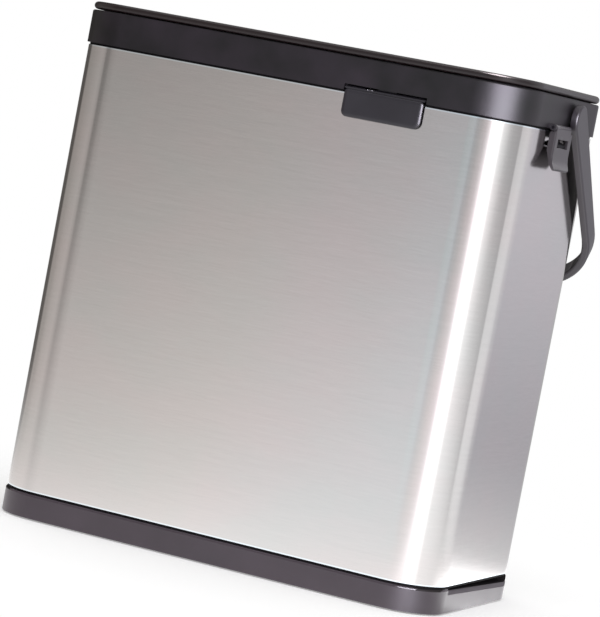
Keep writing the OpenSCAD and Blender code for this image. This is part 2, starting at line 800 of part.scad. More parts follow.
module middle_tubes() color([0.72, 0.72, 0.73]) {
  for (x = [-post_x, post_x]) translate([x, 0, tube_z]) difference() {
    cylinder(r = tube_r, h = tube_top - tube_z);
    translate([0, 0, -1]) cylinder(r = rod_r + slide_fit, h = tube_top - tube_z + 2);
  }
}

// ------------------------------------------------------------------ press

module press_head() color([0.26, 0.24, 0.24]) {
  difference() {
    translate([0, 0, head_z]) linear_extrude(head_h) head_outline(0);
    block([recess_x0, -recess_y, head_z + recess_floor], [recess_x1, recess_y, lid_top]);
    rod_y(0, handle_z, (handle_pin_dia + pin_fit) / 2, recess_y - 1, head_d / 2 + 1);
    rod_y(0, handle_z, (handle_pin_dia + pin_fit) / 2, -head_d / 2 - 1, -recess_y + 1);
  }
}

module plate_screw_spots() {
  for (x = [-plate_screw_x, plate_screw_x], y = [-plate_screw_y, plate_screw_y])
    translate([x, y, 0]) children();
}

module press_column() color([0.2, 0.2, 0.2]) {
  wall = [column_wall, column_wall, column_wall];
  low = [-column_w / 2, -column_d / 2, plate_top];
  high = [column_w / 2, column_d / 2, head_z];
  difference() {
    block(low, high);
    block(low + wall, high - [column_wall, column_wall, -1]);
    translate([0, 0, plate_top]) plate_screw_spots() screw_hole(column_wall);
  }
}

module press_plate() color([0.24, 0.24, 0.25]) {
  difference() {
    translate([0, 0, plate_z]) linear_extrude(plate_t) outline(plate_w, plate_d, plate_r);
    // groove for the wiper
    translate([0, 0, plate_z + (plate_t - wiper_h) / 2]) linear_extrude(wiper_h) difference() {
      outline(plate_w, plate_d, plate_r, 1);
      outline(plate_w, plate_d, plate_r, -wiper_hold);
    }
    translate([0, 0, plate_z]) plate_screw_spots() {
      screw_hole(plate_t);
      translate([0, 0, -1]) cylinder(d = screw_head_dia + 2 * screw_fit, h = screw_head_h + 1.5);
    }
    for (x = [-post_x, post_x]) translate([x, 0, plate_z + rod_socket])
      cylinder(r = rod_r + 0.02, h = plate_t);
  }
}

module wiper_seal() color([0.07, 0.07, 0.07]) {
  translate([0, 0, plate_z + (plate_t - wiper_h) / 2]) linear_extrude(wiper_h) difference() {
    outline(plate_w, plate_d, plate_r, wiper_out);
    outline(plate_w, plate_d, plate_r, -wiper_hold);
  }
}

module guide_rods() color([0.8, 0.8, 0.82]) {
  for (x = [-post_x, post_x]) translate([x, 0, plate_z + rod_socket])
    cylinder(r = rod_r, h = rod_top - plate_z - rod_socket);
}

module plate_screws() color([0.7, 0.7, 0.72]) {
  translate([0, 0, plate_z + 0.5]) plate_screw_spots() screw(plate_t - screw_head_h + column_wall + 1);
}

module press_handle_pins() color([0.75, 0.75, 0.76]) {
  for (a = [0, 180]) rotate(a)
    rod_y(0, handle_z, handle_pin_dia / 2, handle_leg_y - handle_pin_in, head_d / 2 - 0.6);
}

module press_handle() color([0.3, 0.28, 0.28]) {
  low = handle_z - handle_t / 2;
  difference() {
    union() {
      for (y = [-handle_leg_y, handle_leg_y]) {
        rod_y(0, handle_z, handle_t / 2, y - handle_t / 2, y + handle_t / 2);
        block([0, y - handle_t / 2, low], [handle_reach, y + handle_t / 2, low + handle_t]);
      }
      rod_y(handle_reach, handle_z, handle_t / 2, -handle_leg_y - handle_t / 2, handle_leg_y + handle_t / 2);
    }
    for (a = [0, 180]) rotate(a)
      rod_y(0, handle_z, handle_pin_dia / 2 + pin_fit, handle_leg_y - handle_pin_in - 0.2, recess_y);
  }
}

// ------------------------------------------------------------------- bail

// Puts its children, drawn hanging straight down from the origin, where the bail rests
module as_bail() {
  translate([0, bail_y, bail_z]) rotate([bail_rest, 0, 0]) children();
}

// Tongue at the end of an arm, which goes into the end of the grip
module bail_tongue(gap) {
  block([bail_in + tongue_x - gap, -tongue_w / 2 - gap, -bail_arm - tongue_len - gap],
        [bail_in + tongue_x + tongue_t + gap, tongue_w / 2 + gap, -bail_arm + 1]);
}

module bail_arms() color([0.28, 0.27, 0.28]) {
  stop_half = asin(stop_w / 2 / (stop_r - stop_t / 2)) + 1;
  as_bail() both_ends() difference() {
    union() {
      translate([bail_in, 0, 0]) rotate([90, 0, 90]) linear_extrude(bail_t)
        polygon([[-bail_w / 2, 0], [bail_w / 2, 0], [grip_w / 2, -bail_arm], [-grip_w / 2, -bail_arm]]);
      rod_x(0, 0, bail_w / 2, bail_in, bail_out);
      bail_tongue(0);
    }
    rod_x(0, 0, bail_pin_dia / 2 + pin_fit, bail_in - 1, bail_in + bail_pin_depth);
    // arc groove in which the collar's stop runs; it ends where the bail stops
    translate([bail_in + groove_depth, 0, 0]) rotate([0, -90, 0]) rotate(180 - stop_half)
      rotate_extrude(angle = bail_range + 2 * stop_half)
        translate([stop_r - groove_w / 2, 0]) square([groove_w, groove_depth + 1]);
  }
}

module bail_grip() color([0.28, 0.27, 0.28]) {
  corner_x = bail_out - bail_corner_r;
  low = -bail_arm - bail_corner_r;
  section = [[bail_corner_r - grip_t, -grip_w / 2], [bail_corner_r, -grip_w / 2],
             [bail_corner_r, grip_w / 2], [bail_corner_r - grip_t, grip_w / 2]];
  as_bail() {
    both_ends() difference() {
      translate([corner_x, 0, -bail_arm]) rotate([90, 90, 0]) rotate_extrude(angle = 90) polygon(section);
      bail_tongue(tongue_gap);
    }
    block([-corner_x, -grip_w / 2, low], [corner_x, grip_w / 2, low + grip_t]);
    // keys inside the bar, which tie its corners to its middle
    both_ends() block([corner_x - key_half, key_in - grip_w / 2, low + key_in],
                      [corner_x + key_half, grip_w / 2 - key_in, low + grip_t - key_in]);
  }
}

// ------------------------------------------------------------------ clips

module end_clip() {
  back = clip_cheek_in;
  face = clip_face;
  inner = clip_face - clip_t;
  knuckle_y = [clip_front + clip_gap, back_ear_y - clip_gap];
  difference() {
    union() {
      // knuckle on the pin, and the shoulder below it
      rod_y(clip_pin_x, clip_pin_z, clip_knuckle_r, knuckle_y[0], knuckle_y[1]);
      side_plate(knuckle_y[0], knuckle_y[1], [[inner, clip_shoulder_z - eps], [face, clip_shoulder_z - eps],
                                              [face, clip_pin_z], [inner, clip_pin_z]]);
      // face plate with its flared lip
      side_plate(clip_front, clip_back,
        [[inner, clip_shoulder_z], [face, clip_shoulder_z], [face, clip_foot + lip_start],
         [face + 0.7, clip_foot + lip_bend], [face + 2.6, clip_foot + 1.2], [face + 1.8, clip_foot],
         [face + 0.4, clip_foot], [inner + 0.2, clip_foot + lip_bend], [inner, clip_foot + lip_start]]);
      // cheeks along both sides
      for (y = [clip_front, clip_back - clip_cheek])
        side_plate(y, y + clip_cheek,
          [[back, clip_shoulder_z - 1.4], [back + 1.2, clip_shoulder_z], [face, clip_shoulder_z],
           [face, clip_foot + lip_bend], [inner + 0.4, clip_foot + lip_bend - 1],
           [back + 1.4, clip_foot + lip_start],
           [back, clip_foot + cheek_foot]]);
    }
    block([inner - 1, clip_mid - window_w / 2, window_z],
          [face + 1, clip_mid + window_w / 2, window_z + window_h]);
    rod_y(clip_pin_x, clip_pin_z, clip_pin_r + pin_fit, clip_front - 1, clip_back + 1);
  }
}

module end_clip_right() color([0.34, 0.33, 0.33]) end_clip();

module end_clip_left() color([0.34, 0.33, 0.33]) mirror([1, 0, 0]) end_clip();

// ----------------------------------------------------------------- paddle

module release_paddle() color([0.27, 0.26, 0.27]) {
  z0 = paddle_top - paddle_h;
  half = paddle_w / 2;
  arm_y = paddle_pin_y - 1;
  shelf_z = magnet_top - magnet_t - paddle_shelf_t;
  difference() {
    union() {
      // face plate with rounded lower corners
      translate([paddle_x, paddle_face + paddle_t, 0]) rotate([90, 0, 0]) linear_extrude(paddle_t) {
        translate([-half, z0 + paddle_r]) square([paddle_w, paddle_h - paddle_r]);
        translate([-half + paddle_r, z0]) square([paddle_w - 2 * paddle_r, paddle_h]);
        for (x = [-half + paddle_r, half - paddle_r]) translate([x, z0 + paddle_r]) circle(r = paddle_r);
      }
      // web through the notch to the hub
      block([paddle_x - half, paddle_face + 1, paddle_pin_z - 1],
            [paddle_x + half, paddle_pin_y, paddle_pin_z + 0.4]);
      rod_x(paddle_pin_y, paddle_pin_z, paddle_hub_r, paddle_x - half, paddle_x + half);
      // arm that carries the magnet
      block([paddle_x - paddle_arm_w / 2, arm_y, paddle_pin_z],
            [paddle_x + paddle_arm_w / 2, arm_y + paddle_arm_t, shelf_z + paddle_shelf_t]);
      block([paddle_x - paddle_arm_w / 2, arm_y, shelf_z],
            [paddle_x + paddle_arm_w / 2, arm_y + magnet_d + 1, shelf_z + paddle_shelf_t]);
    }
    rod_x(paddle_pin_y, paddle_pin_z, paddle_pin_dia / 2 + pin_fit,
          paddle_x - half - 1, paddle_x + half + 1);
    // bevel behind the top edge, which tips back over the notch
    translate([paddle_x - half - 1, paddle_face + paddle_t, paddle_top]) rotate([90, 0, 90])
      linear_extrude(paddle_w + 2) polygon([[-paddle_bevel, eps], [eps, -paddle_bevel], [eps, eps]]);
    // gap for the spring
    block([twist_x - 1, paddle_pin_y - paddle_hub_r - 0.3, collar_z],
          [twist_x + twist_w + 1, paddle_pin_y + paddle_hub_r + 1, paddle_pin_z + paddle_hub_r + 1]);
  }
}

module catch_magnet() color([0.6, 0.6, 0.63]) {
  block([paddle_x - magnet_w / 2, paddle_pin_y - 0.5, magnet_top - magnet_t],
        [paddle_x + magnet_w / 2, paddle_pin_y - 0.5 + magnet_d, magnet_top]);
}

// --------------------------------------------------------------- assembly

base_tray();
rubber_feet();
floor_pan();
base_screws();
base_gasket();
steel_shell();
shell_rim();
inner_bucket();
bag_ring();
catch_lugs();
collar();
bail_pins();
clip_pins();
lid_hinge_pins();
paddle_pin();
paddle_spring();
lid_panel();
inner_lid();
lid_screws();
lid_gasket();
lid_striker();
guide_sleeves();
filter_cassette();
filter_pad();
return_springs();
middle_tubes();
press_head();
press_column();
press_plate();
wiper_seal();
guide_rods();
plate_screws();
press_handle_pins();
press_handle();
bail_arms();
bail_grip();
end_clip_right();
end_clip_left();
release_paddle();
catch_magnet();
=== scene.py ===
"""Slim brushed-steel bin with a hand press in its lid, a swinging bail and a clip at each end.

After the camera and the studio, the sections follow the bin as it is put together: the steel shell, the
moulded base, the collar, the lid, the press, the bail, the end clips, the release paddle, the return
springs, and what is inside. Metres, +Z up.
"""

import json
import math

import bmesh
import bpy
import numpy as np
from mathutils import Matrix, Vector


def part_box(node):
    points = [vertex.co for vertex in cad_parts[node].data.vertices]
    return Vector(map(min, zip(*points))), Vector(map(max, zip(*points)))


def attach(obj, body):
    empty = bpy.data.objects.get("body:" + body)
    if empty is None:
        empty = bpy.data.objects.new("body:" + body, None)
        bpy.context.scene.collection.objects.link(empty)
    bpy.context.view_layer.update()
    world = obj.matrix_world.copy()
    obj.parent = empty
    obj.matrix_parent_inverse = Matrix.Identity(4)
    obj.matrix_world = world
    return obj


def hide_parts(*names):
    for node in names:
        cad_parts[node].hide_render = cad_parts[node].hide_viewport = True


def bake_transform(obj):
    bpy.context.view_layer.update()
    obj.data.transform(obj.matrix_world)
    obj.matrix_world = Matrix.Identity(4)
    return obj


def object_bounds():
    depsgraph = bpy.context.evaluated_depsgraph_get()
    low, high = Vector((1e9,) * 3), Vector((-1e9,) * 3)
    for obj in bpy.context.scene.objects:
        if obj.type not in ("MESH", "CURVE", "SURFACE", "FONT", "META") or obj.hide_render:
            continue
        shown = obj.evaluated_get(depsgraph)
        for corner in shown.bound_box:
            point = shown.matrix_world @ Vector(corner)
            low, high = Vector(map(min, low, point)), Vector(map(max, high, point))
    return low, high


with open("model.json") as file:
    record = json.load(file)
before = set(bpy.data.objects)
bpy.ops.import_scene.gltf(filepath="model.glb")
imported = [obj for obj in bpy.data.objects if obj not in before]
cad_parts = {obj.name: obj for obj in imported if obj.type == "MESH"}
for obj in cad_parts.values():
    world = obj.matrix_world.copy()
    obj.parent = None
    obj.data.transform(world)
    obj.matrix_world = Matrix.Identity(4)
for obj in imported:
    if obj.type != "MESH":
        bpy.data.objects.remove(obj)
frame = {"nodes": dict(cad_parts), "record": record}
cad_bounds = [list(corner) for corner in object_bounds()]

# ------------------------------------------------------------------------------------------------ camera
# A long lens a little to the right of the bin and a little below its lid, rolled so that the bin leans in
# the view. The camera's axes are worked out from its turn, its dip and its roll.

camera_turn, camera_dip, camera_roll = np.radians([21.21, 3.69, 10.77])
camera_target = Vector((0.0003, 0.0, 0.2141))
camera_distance = 2.694

forward = Vector((-math.sin(camera_turn) * math.cos(camera_dip),
                  math.cos(camera_turn) * math.cos(camera_dip), -math.sin(camera_dip)))
level_right = Vector((math.cos(camera_turn), math.sin(camera_turn), 0.0))
level_up = level_right.cross(forward)
right = level_right * math.cos(camera_roll) + level_up * math.sin(camera_roll)
up = level_up * math.cos(camera_roll) - level_right * math.sin(camera_roll)

camera = bpy.data.objects.new("camera", bpy.data.cameras.new("camera"))
camera.data.lens = 184.58
camera.data.clip_end = 60.0
camera.matrix_world = (Matrix.Translation(camera_target - forward * camera_distance)
                       @ Matrix((right, up, -forward)).transposed().to_4x4())
bpy.context.scene.collection.objects.link(camera)
bpy.context.scene.camera = camera
bpy.context.scene.view_settings.view_transform = "Standard"

# ------------------------------------------------------------------------------------------------ studio
# A white floor sheet under a white sky, a soft key lamp, and a round tent that glows in painted bright and
# dark bands, a painted reflection that the steel mirrors. A softbox gives the dark mouldings their sheen, and
# a small high lamp gives the lid's edge its glint.

tent_radius = 1.4
tent_height = 2.2
# Azimuth from the front towards the right, in degrees, with the tent's painted glow low down and higher up
tent_glow_bands = [(-180, 0.50, 0.50), (-126, 0.12, 0.11), (-108, 0.14, 0.12), (-102, 0.42, 0.38),
              (-92, 0.45, 0.41), (-78, 0.57, 0.46), (-63, 0.62, 0.52), (-56, 0.53, 0.46),
              (-52, 0.43, 0.26), (-46, 0.48, 0.28), (-40, 0.56, 0.40), (-28, 0.65, 0.455),
              (-20, 0.76, 0.535), (-14, 0.82, 0.575), (-11.5, 0.88, 0.63), (-3, 0.93, 0.68),
              (4, 0.93, 0.70), (9, 0.82, 0.56), (17, 0.87, 0.58),
              (27, 1.00, 0.78), (33, 1.18, 1.16), (38, 2.10, 2.10), (56, 2.10, 2.10), (61, 1.38, 1.36),
              (68, 1.24, 1.08), (75, 1.10, 0.79), (83, 0.97, 0.63), (100, 0.72, 0.55), (103, 1.08, 0.90),
              (119, 1.05, 1.00), (127, 0.97, 0.98), (134, 0.77, 0.87), (155, 0.58, 0.725),
              (180, 0.50, 0.50)]
# The tent's painted tint: yellowish at the left, bluish in front, pink beside the brightest band, lilac
# behind
tent_tint = [(-180, 1.00, 1.00, 1.00), (-120, 1.05, 0.98, 0.92), (-60, 1.04, 0.98, 0.95),
             (-29, 1.04, 1.00, 0.975), (-21, 1.034, 1.00, 0.98), (-17, 1.05, 1.00, 1.02),
             (-14, 1.03, 1.00, 1.02), (-12, 1.00, 1.00, 1.05), (-10, 0.94, 1.00, 1.04),
             (-3, 0.925, 1.00, 1.035), (5, 0.93, 1.00, 1.055), (12, 0.985, 1.00, 1.03),
             (19, 1.03, 1.00, 1.016), (27, 1.06, 1.00, 1.03), (35, 1.05, 1.00, 1.045),
             (60, 0.99, 1.00, 1.02), (120, 0.99, 0.99, 1.02), (155, 0.98, 0.96, 1.04),
             (180, 1.00, 1.00, 1.00)]


def grid_faces(rows, cols, wrap_rows, wrap_cols):
    """Quads of a grid of points numbered row by row; a wrapped direction joins its last line to its first."""
    i = np.arange(rows if wrap_rows else rows - 1)
    j = np.arange(cols if wrap_cols else cols - 1)
    a, b = np.meshgrid(i, j, indexing="ij")
    a1, b1 = (a + 1) % rows, (b + 1) % cols
    return np.stack([a * cols + b, a * cols + b1, a1 * cols + b1, a1 * cols + b], -1).reshape(-1, 4)


def mesh_object(name, points, faces):
    """A smooth mesh object at the origin from an array of points and its faces."""
    mesh = bpy.data.meshes.new(name)
    mesh.from_pydata(np.asarray(points).reshape(-1, 3).tolist(), [], [list(face) for face in faces])
    mesh.validate()
    mesh.shade_smooth()
    obj = bpy.data.objects.new(name, mesh)
    bpy.context.scene.collection.objects.link(obj)
    return obj


class Nodes:
    """A material or a world with its node tree, and short ways to add and join nodes."""

    def __init__(self, owner):
        owner.use_nodes = True
        self.tree = owner.node_tree
        self.tree.nodes.clear()

    def add(self, kind, **settings):
        """A new node; a setting in_Name sets the input called Name, and any other sets a property."""
        node = self.tree.nodes.new(kind)
        for key, value in settings.items():
            if key.startswith("in_"):
                node.inputs[key[3:].replace("_", " ")].default_value = value
            else:
                setattr(node, key, value)
        return node

    def math(self, operation, a, b=None, c=None):
        """The outcome of a math node on numbers or sockets."""
        node = self.tree.nodes.new("ShaderNodeMath")
        node.operation = operation
        for socket, value in zip(node.inputs, (a, b, c)):
            if value is None:
                continue
            if isinstance(value, (int, float)):
                socket.default_value = value
            else:
                self.tree.links.new(value, socket)
        return node.outputs[0]

    def link(self, a, b):
        """Joins an output to an input."""
        self.tree.links.new(a, b)


world = bpy.data.worlds.new("studio_sky")
bpy.context.scene.world = world
sky = Nodes(world)
sky_ray = sky.add("ShaderNodeLightPath")
sky_seen = sky.math("MINIMUM", 1.0, sky.math("ADD", sky_ray.outputs["Is Camera Ray"], sky.math(
    "ADD", sky_ray.outputs["Is Glossy Ray"], sky_ray.outputs["Is Transmission Ray"])))
sky_shade = sky.add("ShaderNodeBackground")
sky_shade.inputs["Color"].default_value = (1.0, 1.0, 1.0, 1.0)
# the sky is seen, and mirrored, as white, and lights a little less
sky_light = 0.85
sky.link(sky.math("MULTIPLY_ADD", sky_seen, 1.0 - sky_light, sky_light), sky_shade.inputs["Strength"])
sky.link(sky_shade.outputs[0], sky.add("ShaderNodeOutputWorld").inputs["Surface"])

glow_bands, tint = np.array(tent_glow_bands), np.array(tent_tint)


def tent_glow_colour(azimuth, height):
    """The tent's painted glow: its two brightnesses blended by height and dimmed upwards, times its tint."""
    low = np.interp(azimuth, glow_bands[:, 0], glow_bands[:, 1])
    high = np.interp(azimuth, glow_bands[:, 0], glow_bands[:, 2])
    upwards = np.interp(height, [0.0, 0.10, 0.32, 2.2], [-0.45, 0.0, 1.0, 1.0])
    dim = np.interp(height, [0.0, 0.32, 0.45, 2.2], [1.0, 1.0, 0.88, 0.70])
    level = (low + (high - low) * upwards) * dim
    return np.stack([np.interp(azimuth, tint[:, 0], tint[:, k]) * level for k in (1, 2, 3)]
                    + [np.ones_like(level)], -1)


def glowing(obj, colours):
    """Stores one colour per point of obj as the attribute that its glow reads."""
    glow = obj.data.attributes.new("glow", "FLOAT_COLOR", "POINT")
    glow.data.foreach_set("color", colours.astype(np.float32).ravel())


# floor sheet: rings of a disc, r from 0 to the sheet's edge. Mirrors see a painted glow on it, which fades
# from white by the bin to the tent's painted colour, by the root of the distance, and the camera sees it
# white away from the bin
floor_radius, white_radius = 5.0, 0.3
ring_r = np.concatenate([[0.001, 0.24], np.linspace(0.30, 1.5, 41), [3.0, floor_radius]])
floor_azimuth = np.linspace(-180.0, 180.0, 361)[:-1]
floor_points = np.stack([np.outer(ring_r, np.sin(np.radians(floor_azimuth))),
                         -np.outer(ring_r, np.cos(np.radians(floor_azimuth))),
                         np.full((len(ring_r), 360), cad_bounds[0][2] - 0.0002)], -1)
floor_sheet = mesh_object("floor_sheet", floor_points, grid_faces(len(ring_r), 360, False, True)[:, ::-1])
fade = np.sqrt(np.clip((ring_r - white_radius) / (tent_radius - white_radius), 0.0, 1.0))[:, None, None]
foot_glow = tent_glow_colour(floor_azimuth, np.zeros(360))
near_glow = np.interp(floor_azimuth, [90, 100, 140], [1.05, 0.85, 0.72])[:, None] + 0.25 * foot_glow
# a brighter patch of painted glow on the floor by the bin's right end, like a white card; mirrors alone see
# it
painted_card_glow = (np.interp(floor_azimuth, [75, 88, 100, 110, 145, 155], [0.0, 1.2, 1.3, 1.0, 1.0, 0.0])[None, :, None]
        * np.interp(ring_r, [0.31, 0.37], [1.0, 0.0])[:, None, None])
glowing(floor_sheet, (near_glow[None] * (1 - fade) + foot_glow[None] * fade) * (1.0 + 1.25 * painted_card_glow))
floor_paint = bpy.data.materials.new("floor_paint")
paint = Nodes(floor_paint)
paint_ray = paint.add("ShaderNodeLightPath")
matte = paint.add("ShaderNodeBsdfDiffuse", in_Color=(0.86, 0.86, 0.86, 1.0))
lift = paint.add("ShaderNodeEmission", in_Color=(1.0, 1.0, 1.0, 1.0))
paint.link(paint.math("MULTIPLY", paint_ray.outputs["Is Camera Ray"], 0.30), lift.inputs["Strength"])
near_look = paint.add("ShaderNodeAddShader")
paint.link(matte.outputs[0], near_look.inputs[0])
paint.link(lift.outputs[0], near_look.inputs[1])
far_look = paint.add("ShaderNodeEmission", in_Color=(1.0, 1.0, 1.0, 1.0), in_Strength=1.0)
place = paint.add("ShaderNodeTexCoord")
reach = paint.add("ShaderNodeVectorMath", operation="LENGTH")
paint.link(place.outputs["Object"], reach.inputs[0])
away = paint.add("ShaderNodeMapRange", interpolation_type="SMOOTHSTEP")
away.inputs["From Min"].default_value, away.inputs["From Max"].default_value = 0.30, 0.60
paint.link(reach.outputs["Value"], away.inputs["Value"])
seen_look = paint.add("ShaderNodeMixShader")
paint.link(paint.math("MULTIPLY", paint_ray.outputs["Is Camera Ray"], away.outputs[0]), seen_look.inputs[0])
paint.link(near_look.outputs[0], seen_look.inputs[1])
paint.link(far_look.outputs[0], seen_look.inputs[2])
mirror_look = paint.add("ShaderNodeEmission", in_Strength=1.0)
paint_glow = paint.add("ShaderNodeAttribute", attribute_name="glow")
paint.link(paint_glow.outputs["Color"], mirror_look.inputs["Color"])
floor_look = paint.add("ShaderNodeMixShader")
paint.link(paint_ray.outputs["Is Glossy Ray"], floor_look.inputs[0])
paint.link(seen_look.outputs[0], floor_look.inputs[1])
paint.link(mirror_look.outputs[0], floor_look.inputs[2])
paint.link(floor_look.outputs[0], paint.add("ShaderNodeOutputMaterial").inputs["Surface"])
floor_sheet.data.materials.append(floor_paint)

# tent: an upright wall round the bin, which glows in painted bands, seen by mirrors alone: a painted
# reflection
tent_azimuth = np.linspace(-180.0, 180.0, 721)[:-1]
tent_z = np.array([0.0, 0.10, 0.20, 0.32, 0.45, 0.8, tent_height])
tent_points = np.stack(np.broadcast_arrays(tent_radius * np.sin(np.radians(tent_azimuth)),
                                           -tent_radius * np.cos(np.radians(tent_azimuth)),
                                           tent_z[:, None]), -1)
tent = mesh_object("tent", tent_points, grid_faces(len(tent_z), 720, False, True))
glowing(tent, tent_glow_colour(*np.broadcast_arrays(tent_azimuth, tent_z[:, None])))
tent_glow_material = bpy.data.materials.new("tent_glow_bands")
tent_look = Nodes(tent_glow_material)
tent_glow = tent_look.add("ShaderNodeEmission", in_Strength=1.0)
tent_look.link(tent_look.add("ShaderNodeAttribute", attribute_name="glow").outputs["Color"],
               tent_glow.inputs["Color"])
tent_look.link(tent_glow.outputs[0], tent_look.add("ShaderNodeOutputMaterial").inputs["Surface"])
tent.data.materials.append(tent_glow_material)
tent.visible_camera = tent.visible_diffuse = tent.visible_shadow = tent.visible_transmission = False


def soft_lamp(name, azimuth, rise, far, width, height, radiance):
    """A rectangular lamp that faces the bin from an azimuth and a rise in degrees; radiance 1 is white."""
    lamp = bpy.data.lights.new(name, "AREA")
    lamp.shape, lamp.size, lamp.size_y = "RECTANGLE", width, height
    lamp.energy = radiance * math.pi * width * height
    obj = bpy.data.objects.new(name, lamp)
    turn, tilt = math.radians(azimuth), math.radians(rise)
    way = Vector((math.sin(turn) * math.cos(tilt), -math.cos(turn) * math.cos(tilt), math.sin(tilt)))
    obj.matrix_world = (Matrix.Translation(Vector((0.0, 0.0, 0.25)) + way * far)
                        @ way.to_track_quat("Z", "Y").to_matrix().to_4x4())
    bpy.context.scene.collection.objects.link(obj)
    return obj


key = soft_lamp("key", azimuth=43, rise=32, far=2.4, width=1.6, height=1.6, radiance=0.9)
key.visible_glossy = False
# the softbox gives sheen and no more, and spares the pieces that are handed to left_alone()
softbox = soft_lamp("softbox", azimuth=49, rise=12, far=1.3, width=0.98, height=0.95, radiance=21.0)
softbox.data.color = (0.91, 0.87, 1.0)
softbox.visible_diffuse = False
sheen_only = bpy.data.collections.new("left_alone_by_the_softbox")
softbox.light_linking.receiver_collection = sheen_only
# the high lamp gives the lid its glint, and lights nothing else
glint = soft_lamp("lid_glint", azimuth=46, rise=70, far=1.3, width=0.50, height=0.58, radiance=36.0)
glint.data.color = (1.0, 0.90, 0.93)
glint.visible_diffuse = False
glint_only = bpy.data.collections.new("lit_by_the_glint")
glint.light_linking.receiver_collection = glint_only


def left_alone(obj):
    """Keeps the softbox's light off an object."""
    sheen_only.objects.link(obj)
    sheen_only.collection_objects[-1].light_linking.link_state = "EXCLUDE"


# ----------------------------------------------------------------------------------------- steel shell
# One wrap of 1 mm stainless sheet, brushed along its length, its seam closed and polished out. It stands
# on the base's gasket, and its rims are rolled over so that no raw edge is left.

shell_low, shell_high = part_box("steel_shell")
half_w, half_d = shell_high.x, shell_high.y
corner_r = 0.043
sheet_t = 0.001
rolled_r = 0.0004


def bin_sweep(name, profile, corner_steps=40):
    """Profile of (offset outwards, height) points carried round the bin's outline as one closed surface.

    A point at angle a of a corner is the corner's centre plus (corner radius + offset) * (cos a, sin a),
    and the straight sides join the corners. The UV map holds the length round the outline and the height.
    """
    quarter = np.linspace(0.0, np.pi / 2, corner_steps)
    angle = np.concatenate([quarter + k * np.pi / 2 for k in range(4)])
    side_x = np.repeat([1, -1, -1, 1], corner_steps) * (half_w - corner_r)
    side_y = np.repeat([1, 1, -1, -1], corner_steps) * (half_d - corner_r)
    offset, height = np.asarray(profile).T
    reach = corner_r + offset[None, :]
    x = side_x[:, None] + reach * np.cos(angle)[:, None]
    y = side_y[:, None] + reach * np.sin(angle)[:, None]
    z = np.broadcast_to(height, x.shape)
    faces, cols = grid_faces(len(angle), len(height), True, True), len(height)
    obj = mesh_object(name, np.stack([x, y, z], -1), faces)
    mid = np.stack([side_x + corner_r * np.cos(angle), side_y + corner_r * np.sin(angle)], -1)
    step = np.linalg.norm(np.roll(mid, -1, 0) - mid, axis=1)
    along = np.concatenate([[0.0], np.cumsum(step)])
    ring = faces // cols
    wrapped = (ring == 0) & (ring[:, :1] == len(angle) - 1)
    u = along[np.where(wrapped, len(angle), ring)]
    v = height[faces % cols]
    uv = obj.data.uv_layers.new(name="round_the_bin")
    uv.data.foreach_set("uv", np.stack([u, v], -1).astype(np.float32).ravel())
    return obj


def arc_points(offset, height, radius, start, stop, steps):
    """Points (offset, height) of an arc of a profile, its angles in degrees from outwards towards up."""
    a = np.radians(np.linspace(start, stop, steps))
    return list(zip(offset + radius * np.cos(a), height + radius * np.sin(a)))


def weighted_normals(obj, angle=35.0):
    """Shades an object smooth up to an angle, its flat faces kept flat by weighting normals with areas."""
    obj.data.shade_smooth()
    obj.data.set_sharp_from_angle(angle=math.radians(angle))
    weight = obj.modifiers.new("face_weights", "WEIGHTED_NORMAL")
    weight.keep_sharp = True
    weight.weight = 80


shell_in = -sheet_t + rolled_r
shell_profile = (arc_points(-rolled_r, shell_low.z + rolled_r, rolled_r, -90, 0, 5)
                 + arc_points(-rolled_r, shell_high.z - rolled_r, rolled_r, 0, 90, 5)
                 + arc_points(shell_in, shell_high.z - rolled_r, rolled_r, 90, 180, 5)
                 + arc_points(shell_in, shell_low.z + rolled_r, rolled_r, 180, 270, 5))
shell = bin_sweep("brushed_shell", shell_profile)
weighted_normals(shell, 60.0)


def effect_group(name, inputs, outputs):
    """An empty shader group with named sockets: (name, kind, default) inputs and (name, kind) outputs."""
    group = bpy.data.node_groups.new(name, "ShaderNodeTree")
    for label, kind, default in inputs:
        socket = group.interface.new_socket(name=label, in_out="INPUT", socket_type=kind)
        if default is not None:
            socket.default_value = default
    for label, kind in outputs:
        group.interface.new_socket(name=label, in_out="OUTPUT", socket_type=kind)
    return group


def group_nodes(group):
    """Its tree with an input and an output node, wrapped as Nodes."""
    kit = Nodes.__new__(Nodes)
    kit.tree = group
    return kit, kit.add("NodeGroupInput"), kit.add("NodeGroupOutput")


def noise(kit, vector, scale, detail=2.0, roughness=0.5):
    """The factor of a noise texture on a vector."""
    texture = kit.add("ShaderNodeTexNoise", in_Scale=scale, in_Detail=detail, in_Roughness=roughness)
    kit.link(vector, texture.inputs["Vector"])
    return texture.outputs["Fac"]


def stretched(kit, vector, scale):
    """A vector scaled differently along its axes."""
    mapping = kit.add("ShaderNodeMapping", in_Scale=scale)
    kit.link(vector, mapping.inputs["Vector"])
    return mapping.outputs["Vector"]


